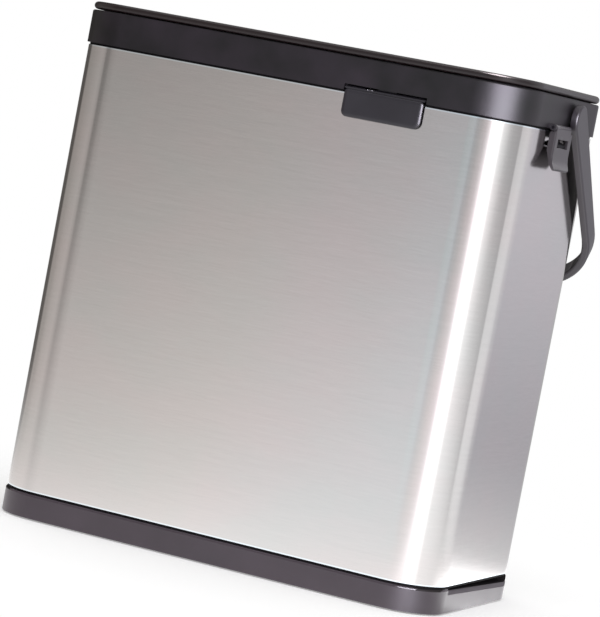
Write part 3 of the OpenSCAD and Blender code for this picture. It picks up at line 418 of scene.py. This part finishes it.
def brushed_group():
    """Fine scratches along U: three noises stretched 25 to 50 times, and wide soft clouds of tint."""
    group = effect_group("brushed_scratches", [("Along", "NodeSocketVector", None)],
                         [("Scratch", "NodeSocketFloat"), ("Cloud", "NodeSocketFloat"),
                          ("Normal", "NodeSocketVector")])
    kit, source, sink = group_nodes(group)
    along = source.outputs["Along"]
    fine = noise(kit, stretched(kit, along, (60.0, 3000.0, 1.0)), 1.0, 3.0, 0.7)
    middle = noise(kit, stretched(kit, along, (40.0, 1100.0, 1.0)), 1.0, 2.0, 0.6)
    broad = noise(kit, stretched(kit, along, (12.0, 300.0, 1.0)), 1.0, 2.0, 0.5)
    scratch = kit.math("ADD", kit.math("MULTIPLY", fine, 0.45),
                       kit.math("ADD", kit.math("MULTIPLY", middle, 0.35), kit.math("MULTIPLY", broad, 0.2)))
    cloud = noise(kit, stretched(kit, along, (14.0, 20.0, 1.0)), 1.0, 3.0, 0.55)
    bump = kit.add("ShaderNodeBump", in_Strength=0.25, in_Distance=0.00003)
    kit.link(scratch, bump.inputs["Height"])
    kit.link(scratch, sink.inputs["Scratch"])
    kit.link(cloud, sink.inputs["Cloud"])
    kit.link(bump.outputs["Normal"], sink.inputs["Normal"])
    return group


brushed = brushed_group()


def tone(kit, factor, dark, light, low=0.0, high=1.0):
    """A colour between dark and light as factor goes from low to high."""
    ramp = kit.add("ShaderNodeValToRGB")
    ramp.color_ramp.elements[0].position, ramp.color_ramp.elements[1].position = low, high
    ramp.color_ramp.elements[0].color = (*dark, 1.0)
    ramp.color_ramp.elements[1].color = (*light, 1.0)
    kit.link(factor, ramp.inputs["Fac"])
    return ramp.outputs["Color"]


def spread(kit, factor, low, high):
    """A number from low to high as factor goes from 0.25 to 0.75, where noise mostly lies."""
    node = kit.add("ShaderNodeMapRange")
    for label, value in (("From Min", 0.25), ("From Max", 0.75), ("To Min", low), ("To Max", high)):
        node.inputs[label].default_value = value
    kit.link(factor, node.inputs["Value"])
    return node.outputs["Result"]


def ramped(kit, value, start, width):
    """0 up to start, rising evenly to 1 over width."""
    return kit.math("MINIMUM", 1.0, kit.math("MAXIMUM", 0.0, kit.math(
        "DIVIDE", kit.math("SUBTRACT", value, start), width)))


def brushed_steel():
    """Stainless steel: warm grey, mirror-like across the brushing and blurred up and down by it.

    Its rolled-over top and bottom edges are painted a thin light bluish line, a painted highlight.
    """
    material = bpy.data.materials.new("brushed_steel")
    kit = Nodes(material)
    uv = kit.add("ShaderNodeUVMap", uv_map="round_the_bin")
    grain = kit.add("ShaderNodeGroup", node_tree=brushed)
    kit.link(uv.outputs["UV"], grain.inputs["Along"])
    shader = kit.add("ShaderNodeBsdfPrincipled", in_Metallic=1.0, in_Anisotropic=0.9,
                     in_Anisotropic_Rotation=0.25)
    tangent = kit.add("ShaderNodeTangent", direction_type="RADIAL", axis="Z")
    kit.link(tangent.outputs[0], shader.inputs["Tangent"])
    tint = tone(kit, grain.outputs["Cloud"], (0.65, 0.615, 0.605), (0.63, 0.618, 0.605), 0.35, 0.65)
    streak = tone(kit, grain.outputs["Scratch"], (0.95, 0.95, 0.95), (1.05, 1.05, 1.05), 0.3, 0.7)
    mixed = kit.add("ShaderNodeMix", data_type="RGBA", blend_type="MULTIPLY")
    mixed.inputs["Factor"].default_value = 1.0
    kit.link(tint, mixed.inputs[6])
    kit.link(streak, mixed.inputs[7])
    height = kit.add("ShaderNodeSeparateXYZ")
    kit.link(uv.outputs["UV"], height.inputs[0])
    middle_z, half_h = (shell_low.z + shell_high.z) / 2, (shell_high.z - shell_low.z) / 2
    off_middle = kit.math("ABSOLUTE", kit.math("SUBTRACT", height.outputs["Y"], middle_z))
    # painted highlight: within 1.5 mm of the top and bottom edges the colour turns light bluish
    rolled = kit.add("ShaderNodeMix", data_type="RGBA")
    kit.link(ramped(kit, off_middle, half_h - 0.0015, 0.0005), rolled.inputs["Factor"])
    kit.link(mixed.outputs[2], rolled.inputs[6])
    rolled.inputs[7].default_value = (0.80, 0.86, 0.90, 1.0)
    kit.link(rolled.outputs[2], shader.inputs["Base Color"])
    kit.link(spread(kit, grain.outputs["Scratch"], 0.13, 0.19), shader.inputs["Roughness"])
    kit.link(grain.outputs["Normal"], shader.inputs["Normal"])
    kit.link(shader.outputs[0], kit.add("ShaderNodeOutputMaterial").inputs["Surface"])
    return material


shell.data.materials.append(brushed_steel())
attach(shell, "root")
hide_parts("steel_shell")
left_alone(shell)

# ---------------------------------------------------------------------------------------- moulded base
# A dark satin moulding under the shell, with a rounded top edge, a finger recess in each end and a
# hollow, ribbed underside. It is one injection-moulded piece, screwed up into the floor pan.


def moulded_group():
    """Moulded plastic: a fine spark-eroded texture and flow clouds."""
    group = effect_group("moulded_texture",
                         [("Place", "NodeSocketVector", None), ("Depth", "NodeSocketFloat", 1.0)],
                         [("Fine", "NodeSocketFloat"), ("Cloud", "NodeSocketFloat"),
                          ("Normal", "NodeSocketVector")])
    kit, source, sink = group_nodes(group)
    fine = noise(kit, source.outputs["Place"], 1500.0, 3.0, 0.6)
    cloud = noise(kit, source.outputs["Place"], 22.0, 3.0, 0.5)
    bump = kit.add("ShaderNodeBump", in_Strength=0.35, in_Distance=0.00005)
    kit.link(kit.math("MULTIPLY", fine, source.outputs["Depth"]), bump.inputs["Height"])
    kit.link(fine, sink.inputs["Fine"])
    kit.link(cloud, sink.inputs["Cloud"])
    kit.link(bump.outputs["Normal"], sink.inputs["Normal"])
    return group


moulded = moulded_group()


def shift(colour, by):
    """A colour made lighter or darker by a share."""
    return tuple(min(1.0, channel * (1.0 + by)) for channel in colour)


def plastic(name, colour, roughness, gloss=0.5, depth=1.0, clouds=0.12, rubbed=None):
    """Moulded plastic of one colour, with the moulding's texture in its sheen, tone and relief.

    rubbed (height, width, roughness, until) polishes an edge between two heights, as hands and cloths do.
    """
    material = bpy.data.materials.new(name)
    kit = Nodes(material)
    place = kit.add("ShaderNodeTexCoord")
    texture = kit.add("ShaderNodeGroup", node_tree=moulded)
    texture.inputs["Depth"].default_value = depth
    kit.link(place.outputs["Object"], texture.inputs["Place"])
    shader = kit.add("ShaderNodeBsdfPrincipled")
    shader.inputs["Specular IOR Level"].default_value = gloss
    kit.link(tone(kit, texture.outputs["Cloud"], shift(colour, -clouds), shift(colour, clouds), 0.3, 0.7),
             shader.inputs["Base Color"])
    sheen = kit.math("ADD", kit.math("MULTIPLY", texture.outputs["Fine"], 0.3),
                     kit.math("MULTIPLY", texture.outputs["Cloud"], 0.7))
    blur = spread(kit, sheen, roughness - 0.05, roughness + 0.05)
    if rubbed:
        height = kit.add("ShaderNodeSeparateXYZ")
        kit.link(place.outputs["Object"], height.inputs[0])
        polish = kit.add("ShaderNodeMix", data_type="FLOAT")
        kit.link(kit.math("SUBTRACT", ramped(kit, height.outputs["Z"], rubbed[0], rubbed[1]),
                          ramped(kit, height.outputs["Z"], rubbed[3], 0.0002)), polish.inputs["Factor"])
        kit.link(blur, polish.inputs[2])
        polish.inputs[3].default_value = rubbed[2]
        blur = polish.outputs[0]
    kit.link(blur, shader.inputs["Roughness"])
    kit.link(texture.outputs["Normal"], shader.inputs["Normal"])
    kit.link(shader.outputs[0], kit.add("ShaderNodeOutputMaterial").inputs["Surface"])
    return material


def edge_middles(bm, edges):
    """Middles of edges as an array."""
    return np.array([(e.verts[0].co + e.verts[1].co) / 2 for e in edges]).reshape(-1, 3)


def carved(obj, cutter, operation):
    """Cuts obj's mesh with cutter by a boolean, which is applied, and drops the cutter."""
    change = obj.modifiers.new("carve", "BOOLEAN")
    change.object, change.operation, change.solver = cutter, operation, "EXACT"
    result = bpy.data.meshes.new_from_object(obj.evaluated_get(bpy.context.evaluated_depsgraph_get()))
    obj.modifiers.clear()
    obj.data = result
    bpy.data.objects.remove(cutter)


weld = 0.000002


def softened(name, node, softenings, carvings=()):
    """A copy of a CAD node whose sharp edges are rounded.

    Its doubles are welded, it is carved by each (cutter, operation), and its flat faces are joined.
    Then each softening (width, steps, pick) rounds the edges, sharper than 25 degrees, whose middles pick
    chooses from an array of points.
    """
    obj = bpy.data.objects.new(name, frame["nodes"][node].data.copy())
    bpy.context.scene.collection.objects.link(obj)
    bm = bmesh.new()
    bm.from_mesh(obj.data)
    bmesh.ops.remove_doubles(bm, verts=bm.verts, dist=weld)
    bm.to_mesh(obj.data)
    for cutter, operation in carvings:
        carved(obj, cutter, operation)
    mesh = obj.data
    mesh.name = name
    bm.clear()
    bm.from_mesh(mesh)
    bmesh.ops.remove_doubles(bm, verts=bm.verts, dist=weld)
    bmesh.ops.dissolve_limit(bm, angle_limit=math.radians(0.6), verts=bm.verts, edges=bm.edges)
    for width, steps, pick in softenings:
        sharp = [e for e in bm.edges if len(e.link_faces) == 2 and e.calc_face_angle(0.0) > math.radians(25)]
        if not sharp:
            continue
        chosen = [e for e, take in zip(sharp, pick(edge_middles(bm, sharp))) if take]
        bmesh.ops.bevel(bm, geom=chosen, offset=width, offset_type="OFFSET", segments=steps, profile=0.5,
                        affect="EDGES", clamp_overlap=False)
    bmesh.ops.remove_doubles(bm, verts=bm.verts, dist=weld)
    bm.to_mesh(mesh)
    bm.free()
    mesh.materials.clear()
    if mesh.has_custom_normals:
        mesh.attributes.remove(mesh.attributes["custom_normal"])
    weighted_normals(obj)
    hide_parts(node)
    return obj


def repaint(obj, material, pick):
    """Gives a second material to those faces of an object that pick chooses by their middle and normal."""
    obj.data.materials.append(material)
    for face in obj.data.polygons:
        if pick(face.center, face.normal):
            face.material_index = 1


base_low, base_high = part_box("base_tray")
base = softened("moulded_base", "base_tray", [
    (0.0005, 2, lambda p: (p[:, 2] < base_low.z + 0.0005) & (np.abs(p[:, 0]) > 0.1)
     & ((np.abs(p[:, 1]) > half_d - 0.001) | (np.abs(p[:, 0]) > half_w)))])
base_plastic = plastic("base_plastic", (0.064, 0.048, 0.062), 0.36, gloss=0.46, depth=0.5,
                       rubbed=(base_high.z - 0.0024, 0.0008, 0.15, 1.0))
base.data.materials.append(base_plastic)
# the end recesses lie just inside the shell's ends, near the base's top
recess_from, recess_to = half_w - 0.018, half_w - 0.0005
recess_half_d, recess_floor = half_d - 0.010, base_high.z - 0.009
# painted shade: the recesses' faces get a darker, duller plastic for the shade inside them
repaint(base, plastic("recess_painted_shade", (0.010, 0.006, 0.006), 0.6, gloss=0.15),
        lambda middle, normal: recess_from < abs(middle.x) < recess_to
        and abs(middle.y) < recess_half_d and middle.z > recess_floor)
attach(base, "root")

# --------------------------------------------------------------------------------------------- collar
# The satin moulding that crowns the shell. It carries the bail pins, the clips, the paddle and the lid's
# hinge ears. A fine step runs round its top edge, under the lid, and the step's corner is rounded.

collar_low, collar_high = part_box("collar")
collar_edge = collar_high.x - half_w
# the cutters of the rabbet and of the lid's groove reach this far past what they cut
clear = 0.002
rabbet_in, rabbet_z = collar_edge - 0.0013, collar_high.z - 0.0009
rabbet = bin_sweep("collar_rabbet", [(rabbet_in, rabbet_z), (collar_edge + clear, rabbet_z),
                                     (collar_edge + clear, collar_high.z + clear),
                                     (rabbet_in, collar_high.z + clear)])
collar = softened("collar_ring", "collar", [
    (0.0004, 2, lambda p: (p[:, 2] < shell_high.z + 0.0022)
     & ((np.abs(p[:, 1]) > half_d + 0.001) | (np.abs(p[:, 0]) > half_w + 0.001))),
    (0.0008, 3, lambda p: (np.abs(p[:, 2] - collar_high.z + 0.0010) < 0.0002)
     & ((np.abs(p[:, 1]) > half_d + 0.001) | (np.abs(p[:, 0]) > half_w + 0.001)))],
    [(rabbet, "DIFFERENCE")])
collar_plastic = plastic("collar_plastic", (0.0088, 0.0048, 0.0094), 0.44, gloss=0.36, depth=0.5, clouds=1.0,
                         rubbed=(collar_high.z - 0.0014, 0.0005, 0.20, 1.0))
collar.data.materials.append(collar_plastic)
# the rim's top, under the lid, is left dull
repaint(collar, plastic("collar_rim_plastic", (0.016, 0.014, 0.016), 0.6, gloss=0.05),
        lambda middle, normal: normal.z > 0.9 and middle.z > collar_high.z - 0.0012)
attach(collar, "root")

# ------------------------------------------------------------------------------------------------ lid
# The lid panel: a thin moulded plate with a rounded edge and a fine groove all round, cut out for the press
# head in its middle and notched at the back for the hinge ears. It turns on the lid's body.

lid_low, lid_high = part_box("lid_panel")
lid_edge = lid_high.x - half_w
groove_z = (lid_low.z + lid_high.z) / 2 + 0.0004
groove_in, groove_out = lid_edge - 0.0006, lid_edge + clear
groove = bin_sweep("lid_groove", [(groove_in, groove_z - 0.0002), (groove_out, groove_z - 0.0005),
                                  (groove_out, groove_z + 0.0005), (groove_in, groove_z + 0.0002)])
lid = softened("lid_plate", "lid_panel", [], [(groove, "DIFFERENCE")])
lid_plastic = plastic("lid_plastic", (0.014, 0.0065, 0.0080), 0.36, gloss=0.5, depth=0.6,
                      rubbed=(lid_high.z - 0.0045, 0.0010, 0.26, lid_high.z - 0.0004))
lid.data.materials.append(lid_plastic)
left_alone(lid)
glint_only.objects.link(lid)
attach(lid, "lid")

# ---------------------------------------------------------------------------------------------- press
# The head that is pushed by hand, with its fold-flat handle in a recess. Both have softly rounded edges
# where a hand touches them.

head_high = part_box("press_head")[1]
head = softened("press_cap", "press_head", [
    (0.0006, 3, lambda p: p[:, 2] > head_high.z - 0.0001)])
head_plastic = plastic("head_plastic", (0.012, 0.0065, 0.0080), 0.40, gloss=0.5, depth=0.6)
head.data.materials.append(head_plastic)
left_alone(head)
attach(head, "press")

handle_plastic = plastic("handle_plastic", (0.040, 0.033, 0.043), 0.36, gloss=0.5, depth=0.8)
folding_handle = softened("folding_handle", "press_handle", [(0.0012, 3, lambda p: np.full(len(p), True))])
folding_handle.data.materials.append(handle_plastic)
left_alone(folding_handle)
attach(folding_handle, "press_handle")

# ----------------------------------------------------------------------------------------------- bail
# The carrying handle: a moulded hoop of two flat arms, which turn on pins in the collar, and the grip that
# joins them round two large corners. Its edges are well rounded, and its inner side, towards the bin, is
# painted darker and duller: painted shade.

bail_joint = next(row for row in frame["record"]["behaviour"]["joints"] if row["name"] == "bail_swing")
bail_axis = bail_joint["pos_m"]
bail_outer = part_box("bail_arms")[1].x
# how far the resting bail leans back from hanging down, and where its arms meet the grip
bail_lean = math.radians(44.5)
arm_length = 0.132


def down_the_arm(p):
    """Distance of points from the bail's axis, measured along its arms as they rest."""
    return (p[:, 1] - bail_axis[1]) * math.sin(bail_lean) - (p[:, 2] - bail_axis[2]) * math.cos(bail_lean)


def off_the_joint(p):
    """Picks what doesn't lie where an arm meets the grip."""
    return np.abs(down_the_arm(p) - arm_length) > 0.0003


bail_arms = softened("bail_arm_pair", "bail_arms", [
    (0.0020, 5, lambda p: (np.abs(p[:, 0]) > bail_outer - 0.0002) & off_the_joint(p)),
    (0.0010, 3, lambda p: (np.abs(p[:, 0]) < bail_outer - 0.0060) & (down_the_arm(p) < arm_length - 0.0005))])
bail_grip = softened("bail_grip_bar", "bail_grip", [(0.0020, 5, off_the_joint)])
# painted shade: a darker, duller plastic for the arms' sides that face the bin
inner_painted_shade = plastic("bail_inner_painted_shade", (0.014, 0.011, 0.014), 0.5, gloss=0.15, depth=0.8)
# its arms' inner sides lie beyond this far from the middle
arms_from = 0.19
for piece in (bail_arms, bail_grip):
    piece.data.materials.append(handle_plastic)
    repaint(piece, inner_painted_shade, lambda middle, normal: abs(middle.x) > arms_from
            and middle.x * normal.x < -0.7 * abs(middle.x))
    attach(piece, "bail")

# ------------------------------------------------------------------------------------------ end clips
# A sprung clip at each end, hinged on a pin under the collar, with a window that catches on a steel lug
# and a flared lip for a fingertip. Each is one small moulding with a rounded outline.

clip_plastic = plastic("clip_plastic", (0.064, 0.055, 0.066), 0.40, gloss=0.5, depth=0.6)
clip_low, clip_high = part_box("end_clip_right")
# a small lamp behind the bin, which lights the clips alone
back_light = soft_lamp("clip_edge_light", azimuth=176, rise=22, far=1.3, width=0.50, height=0.50,
                       radiance=7.0)
back_light.visible_diffuse = False
clips_only = bpy.data.collections.new("lit_by_the_clip_edge_light")
back_light.light_linking.receiver_collection = clips_only


def rounded_outline(left, right, low, high, radii, steps):
    """Points (across, up) round a rectangle whose corners are arcs.

    The radii belong to its corners low left, low right, high right and high left. A point at angle a of a
    corner is the arc's middle plus radius * (cos a, sin a).
    """
    points = []
    for radius, across, height, inwards, upwards, start in (
            (radii[0], left, low, 1, 1, 180), (radii[1], right, low, -1, 1, 270),
            (radii[2], right, high, -1, -1, 0), (radii[3], left, high, 1, -1, 90)):
        angle = np.radians(np.linspace(start, start + 90, steps))
        points.append(np.stack([across + inwards * radius + radius * np.cos(angle),
                                height + upwards * radius + radius * np.sin(angle)], -1))
    return np.concatenate(points)


def rounded_plate(name, low, high, radii, through="x"):
    """A block between two corners with four rounded edges, which run along the X or the Y axis."""
    across = "y" if through == "x" else "x"
    outline = rounded_outline(getattr(low, across), getattr(high, across), low.z, high.z, radii, 9)
    bm = bmesh.new()
    corners = [(low.x, a, z) if through == "x" else (a, low.y, z) for a, z in outline]
    face = bm.faces.new([bm.verts.new(corner) for corner in corners])
    grown = bmesh.ops.extrude_face_region(bm, geom=[face])["geom"]
    depth = Vector((high.x - low.x, 0.0, 0.0)) if through == "x" else Vector((0.0, high.y - low.y, 0.0))
    bmesh.ops.translate(bm, verts=[v for v in grown if isinstance(v, bmesh.types.BMVert)], vec=depth)
    bmesh.ops.recalc_face_normals(bm, faces=bm.faces)
    plate = mesh_object(name, np.zeros((0, 3)), np.zeros((0, 4), int))
    bm.to_mesh(plate.data)
    bm.free()
    return plate


clip_trim_low = clip_low - Vector((0.010, 0.0003, 0.0003))
clip_trim_high = clip_high + Vector((0.010, 0.0003, 0.0003))
for side, turn in (("right", 1), ("left", -1)):
    low, high = clip_trim_low.copy(), clip_trim_high.copy()
    if turn < 0:
        low.x, high.x = -clip_trim_high.x, -clip_trim_low.x
    trim = rounded_plate(f"clip_{side}_outline", low, high, (0.0075, 0.0055, 0.0015, 0.0015))
    clip = softened(f"clip_{side}_moulding", f"end_clip_{side}", [
        (0.0018, 4, lambda p: (np.abs(p[:, 0]) > clip_high.x - 0.0036) & (p[:, 1] < clip_low.y + 0.0002)
         & (p[:, 2] > clip_low.z + 0.0080)),
        (0.0004, 2, lambda p: np.abs(p[:, 0]) > clip_high.x - 0.0030)], [(trim, "INTERSECT")])
    clip.data.materials.append(clip_plastic)
    left_alone(clip)
    clips_only.objects.link(clip)
    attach(clip, f"clip_{side}")

# ------------------------------------------------------------------------------------- release paddle
# The paddle that is pulled out at its foot to free the lid. A satin moulding with rounded lower corners
# and a generous rounding round its face.

paddle_low, paddle_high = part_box("release_paddle")
face_back = paddle_low.y + 0.0021
wide = Vector((0.01, 0.0, 0.01))
# its flat front plate is cut off and made anew below
paddle_front = rounded_plate("paddle_front", paddle_low - wide - Vector((0.0, 0.01, 0.0)),
                             Vector((paddle_high.x, face_back, paddle_high.z)) + wide, (0.001,) * 4)
paddle_body = softened("paddle_moulding", "release_paddle", [], [(paddle_front, "DIFFERENCE")])


def capped_faces(rows, cols):
    """Quads of a tube of rows rings with cols points each, closed by a many-sided face at both ends."""
    faces = grid_faces(rows, cols, False, True).tolist()
    return faces + [list(range(cols))[::-1], [(rows - 1) * cols + k for k in range(cols)]]


def faced_outwards(obj):
    """Turns the faces of a closed mesh outwards."""
    bm = bmesh.new()
    bm.from_mesh(obj.data)
    bmesh.ops.recalc_face_normals(bm, faces=bm.faces)
    bm.to_mesh(obj.data)
    bm.free()


def outline_ring(left, right, low, high, radii, y):
    """Points of a rounded rectangle in the plane y, anticlockwise as seen from the front."""
    across, height = rounded_outline(left, right, low, high, radii, 13).T
    return np.stack([across, np.full(len(across), y), height], -1)


def cushioned_plate(name, left, right, low, high, front, back, radii, edge):
    """A plate that faces -Y, its front edge rounded off towards the rim by a quarter of an ellipse.

    At angle a, from 0 at the rim to 90 degrees, its outline lies edge (1 - cos a) inside the rim and its
    depth is front + 0.86 (back - front) (1 - sin a). A flat rim and back close it.
    """
    thick = (back - front) * 0.86
    rings = [outline_ring(left + 0.0002, right - 0.0002, low + 0.0002, high - 0.0002, radii, back)]
    for a in np.radians(np.linspace(0.0, 90.0, 13)):
        inset = edge * (1 - np.cos(a))
        rings.append(outline_ring(left + inset, right - inset, low + inset, high - inset,
                                  [max(radius - inset, 0.0004) for radius in radii],
                                  front + thick * (1 - np.sin(a))))
    plate = mesh_object(name, np.concatenate(rings), capped_faces(len(rings), len(rings[0])))
    faced_outwards(plate)
    weighted_normals(plate)
    return plate


face_top = collar_low.z + 0.0025
paddle_face = cushioned_plate("paddle_face", paddle_low.x, paddle_high.x, paddle_low.z, face_top,
                              paddle_low.y, face_back + 0.0001,
                              radii=(0.0050, 0.0060, 0.0030, 0.0030), edge=0.0034)
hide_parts("release_paddle")
paddle_plastic = plastic("paddle_plastic", (0.016, 0.013, 0.021), 0.36, gloss=0.5, depth=0.7)
for piece in (paddle_body, paddle_face):
    piece.data.materials.append(paddle_plastic)
    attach(piece, "paddle")

# -------------------------------------------------------------------------------------- return springs
# Two coil springs on the posts, which lift the press again. Each is wound from round wire, with its end
# turns closed up, and stretches between the inner lid above and the press plate below.

spring_low, spring_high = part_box("return_springs")
wire_r = 0.0006
wire_sides = 10
coil_r = (spring_high.y - spring_low.y) / 2 - wire_r


def metal(name, colour, roughness, wear=0.06):
    """Plain metal with faint clouds of wear in its colour and its polish."""
    material = bpy.data.materials.new(name)
    kit = Nodes(material)
    place = kit.add("ShaderNodeTexCoord")
    texture = kit.add("ShaderNodeGroup", node_tree=moulded)
    texture.inputs["Depth"].default_value = 0.25
    kit.link(place.outputs["Object"], texture.inputs["Place"])
    shader = kit.add("ShaderNodeBsdfPrincipled", in_Metallic=1.0)
    kit.link(tone(kit, texture.outputs["Cloud"], shift(colour, -wear), shift(colour, wear), 0.3, 0.7),
             shader.inputs["Base Color"])
    kit.link(spread(kit, texture.outputs["Cloud"], roughness - 0.05, roughness + 0.07),
             shader.inputs["Roughness"])
    kit.link(texture.outputs["Normal"], shader.inputs["Normal"])
    kit.link(shader.outputs[0], kit.add("ShaderNodeOutputMaterial").inputs["Surface"])
    return material


def wound_spring(name, x, y, low, high, turns):
    """A coil of round wire about an upright axis.

    The wire's middle is (x + R cos a, y + R sin a, z) with a from 0 to 2 pi turns. z rises evenly, but for
    the first and the last turn, which rise little, so that the ends lie closed.
    """
    t = np.linspace(0.0, 1.0, turns * 28 + 1)
    angle = 2 * np.pi * turns * t
    rise = np.interp(t, [0.0, 1 / turns, 1 - 1 / turns, 1.0], [0.0, 0.035, 0.965, 1.0])
    z = low + wire_r + (high - low - 2 * wire_r) * rise
    out = np.stack([np.cos(angle), np.sin(angle), np.zeros_like(angle)], -1)
    middle = np.array([x, y, 0.0]) + coil_r * out + np.stack([0 * z, 0 * z, z], -1)
    round_wire = np.linspace(0.0, 2 * np.pi, wire_sides + 1)[:-1]
    points = (middle[:, None] + wire_r * (np.cos(round_wire)[None, :, None] * out[:, None]
                                          + np.sin(round_wire)[None, :, None] * np.array([0.0, 0.0, 1.0])))
    coil = mesh_object(name, points, capped_faces(len(t), wire_sides))
    faced_outwards(coil)
    return coil


spring_steel = metal("spring_steel", (0.52, 0.52, 0.53), 0.28)
for side, x in (("right", spring_high.x - wire_r - coil_r), ("left", spring_low.x + wire_r + coil_r)):
    spring = wound_spring(f"return_spring_{side}", x, (spring_low.y + spring_high.y) / 2,
                          spring_low.z, spring_high.z, 11)
    spring.data.materials.append(spring_steel)
    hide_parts("return_springs")
    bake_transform(spring)

# ------------------------------------------------------------------------------------ what is inside
# The bucket, plates, posts, seals, pins and screws keep their CAD shapes. Each takes the look of what it is
# made of: moulded plastic, rubber, foam, drawn or plated steel, or anodised tube. The joints round the steel
# and the clips' lugs and pins are painted near black instead, a painted shade.

finishes = {
    "black_plastic": plastic("black_plastic", (0.018, 0.018, 0.020), 0.5),
    "bucket_plastic": plastic("bucket_plastic", (0.11, 0.11, 0.115), 0.42),
    "plate_plastic": plastic("plate_plastic", (0.05, 0.05, 0.054), 0.5, depth=1.4),
    "seal_rubber": plastic("seal_rubber", (0.015, 0.015, 0.016), 0.7, gloss=0.3),
    "foot_rubber": plastic("foot_rubber", (0.022, 0.022, 0.022), 0.8, gloss=0.3),
    "filter_foam": plastic("filter_foam", (0.012, 0.012, 0.012), 0.95, gloss=0.1, depth=6.0),
    "pin_steel": metal("pin_steel", (0.60, 0.60, 0.61), 0.22),
    "screw_steel": metal("screw_steel", (0.58, 0.59, 0.60), 0.32),
    "spring_steel": spring_steel,
    "rod_steel": metal("rod_steel", (0.64, 0.64, 0.65), 0.16),
    "tube_metal": metal("tube_metal", (0.66, 0.66, 0.67), 0.35),
    # the lugs' steel is painted near black: painted shade for the shade inside the clips' windows
    "lug_steel": metal("lug_steel", (0.010, 0.0095, 0.011), 0.60),
    "magnet_metal": metal("magnet_metal", (0.50, 0.50, 0.52), 0.24),
    "shadow_joint": plastic("shadow_joint", (0.004, 0.0035, 0.004), 0.7, gloss=0.06),
}
# the two joints round the steel lie in shadow, and the clips' pins take the lugs' painted shade
own_look = {"shell_rim": "shadow_joint", "base_gasket": "shadow_joint", "clip_pins": "lug_steel"}
slot_of = {row["node"]: row["material_slot"] for row in frame["record"]["subparts"]}
for node, obj in frame["nodes"].items():
    if not obj.hide_render:
        obj.data.materials.clear()
        obj.data.materials.append(finishes[own_look.get(node, slot_of[node])])
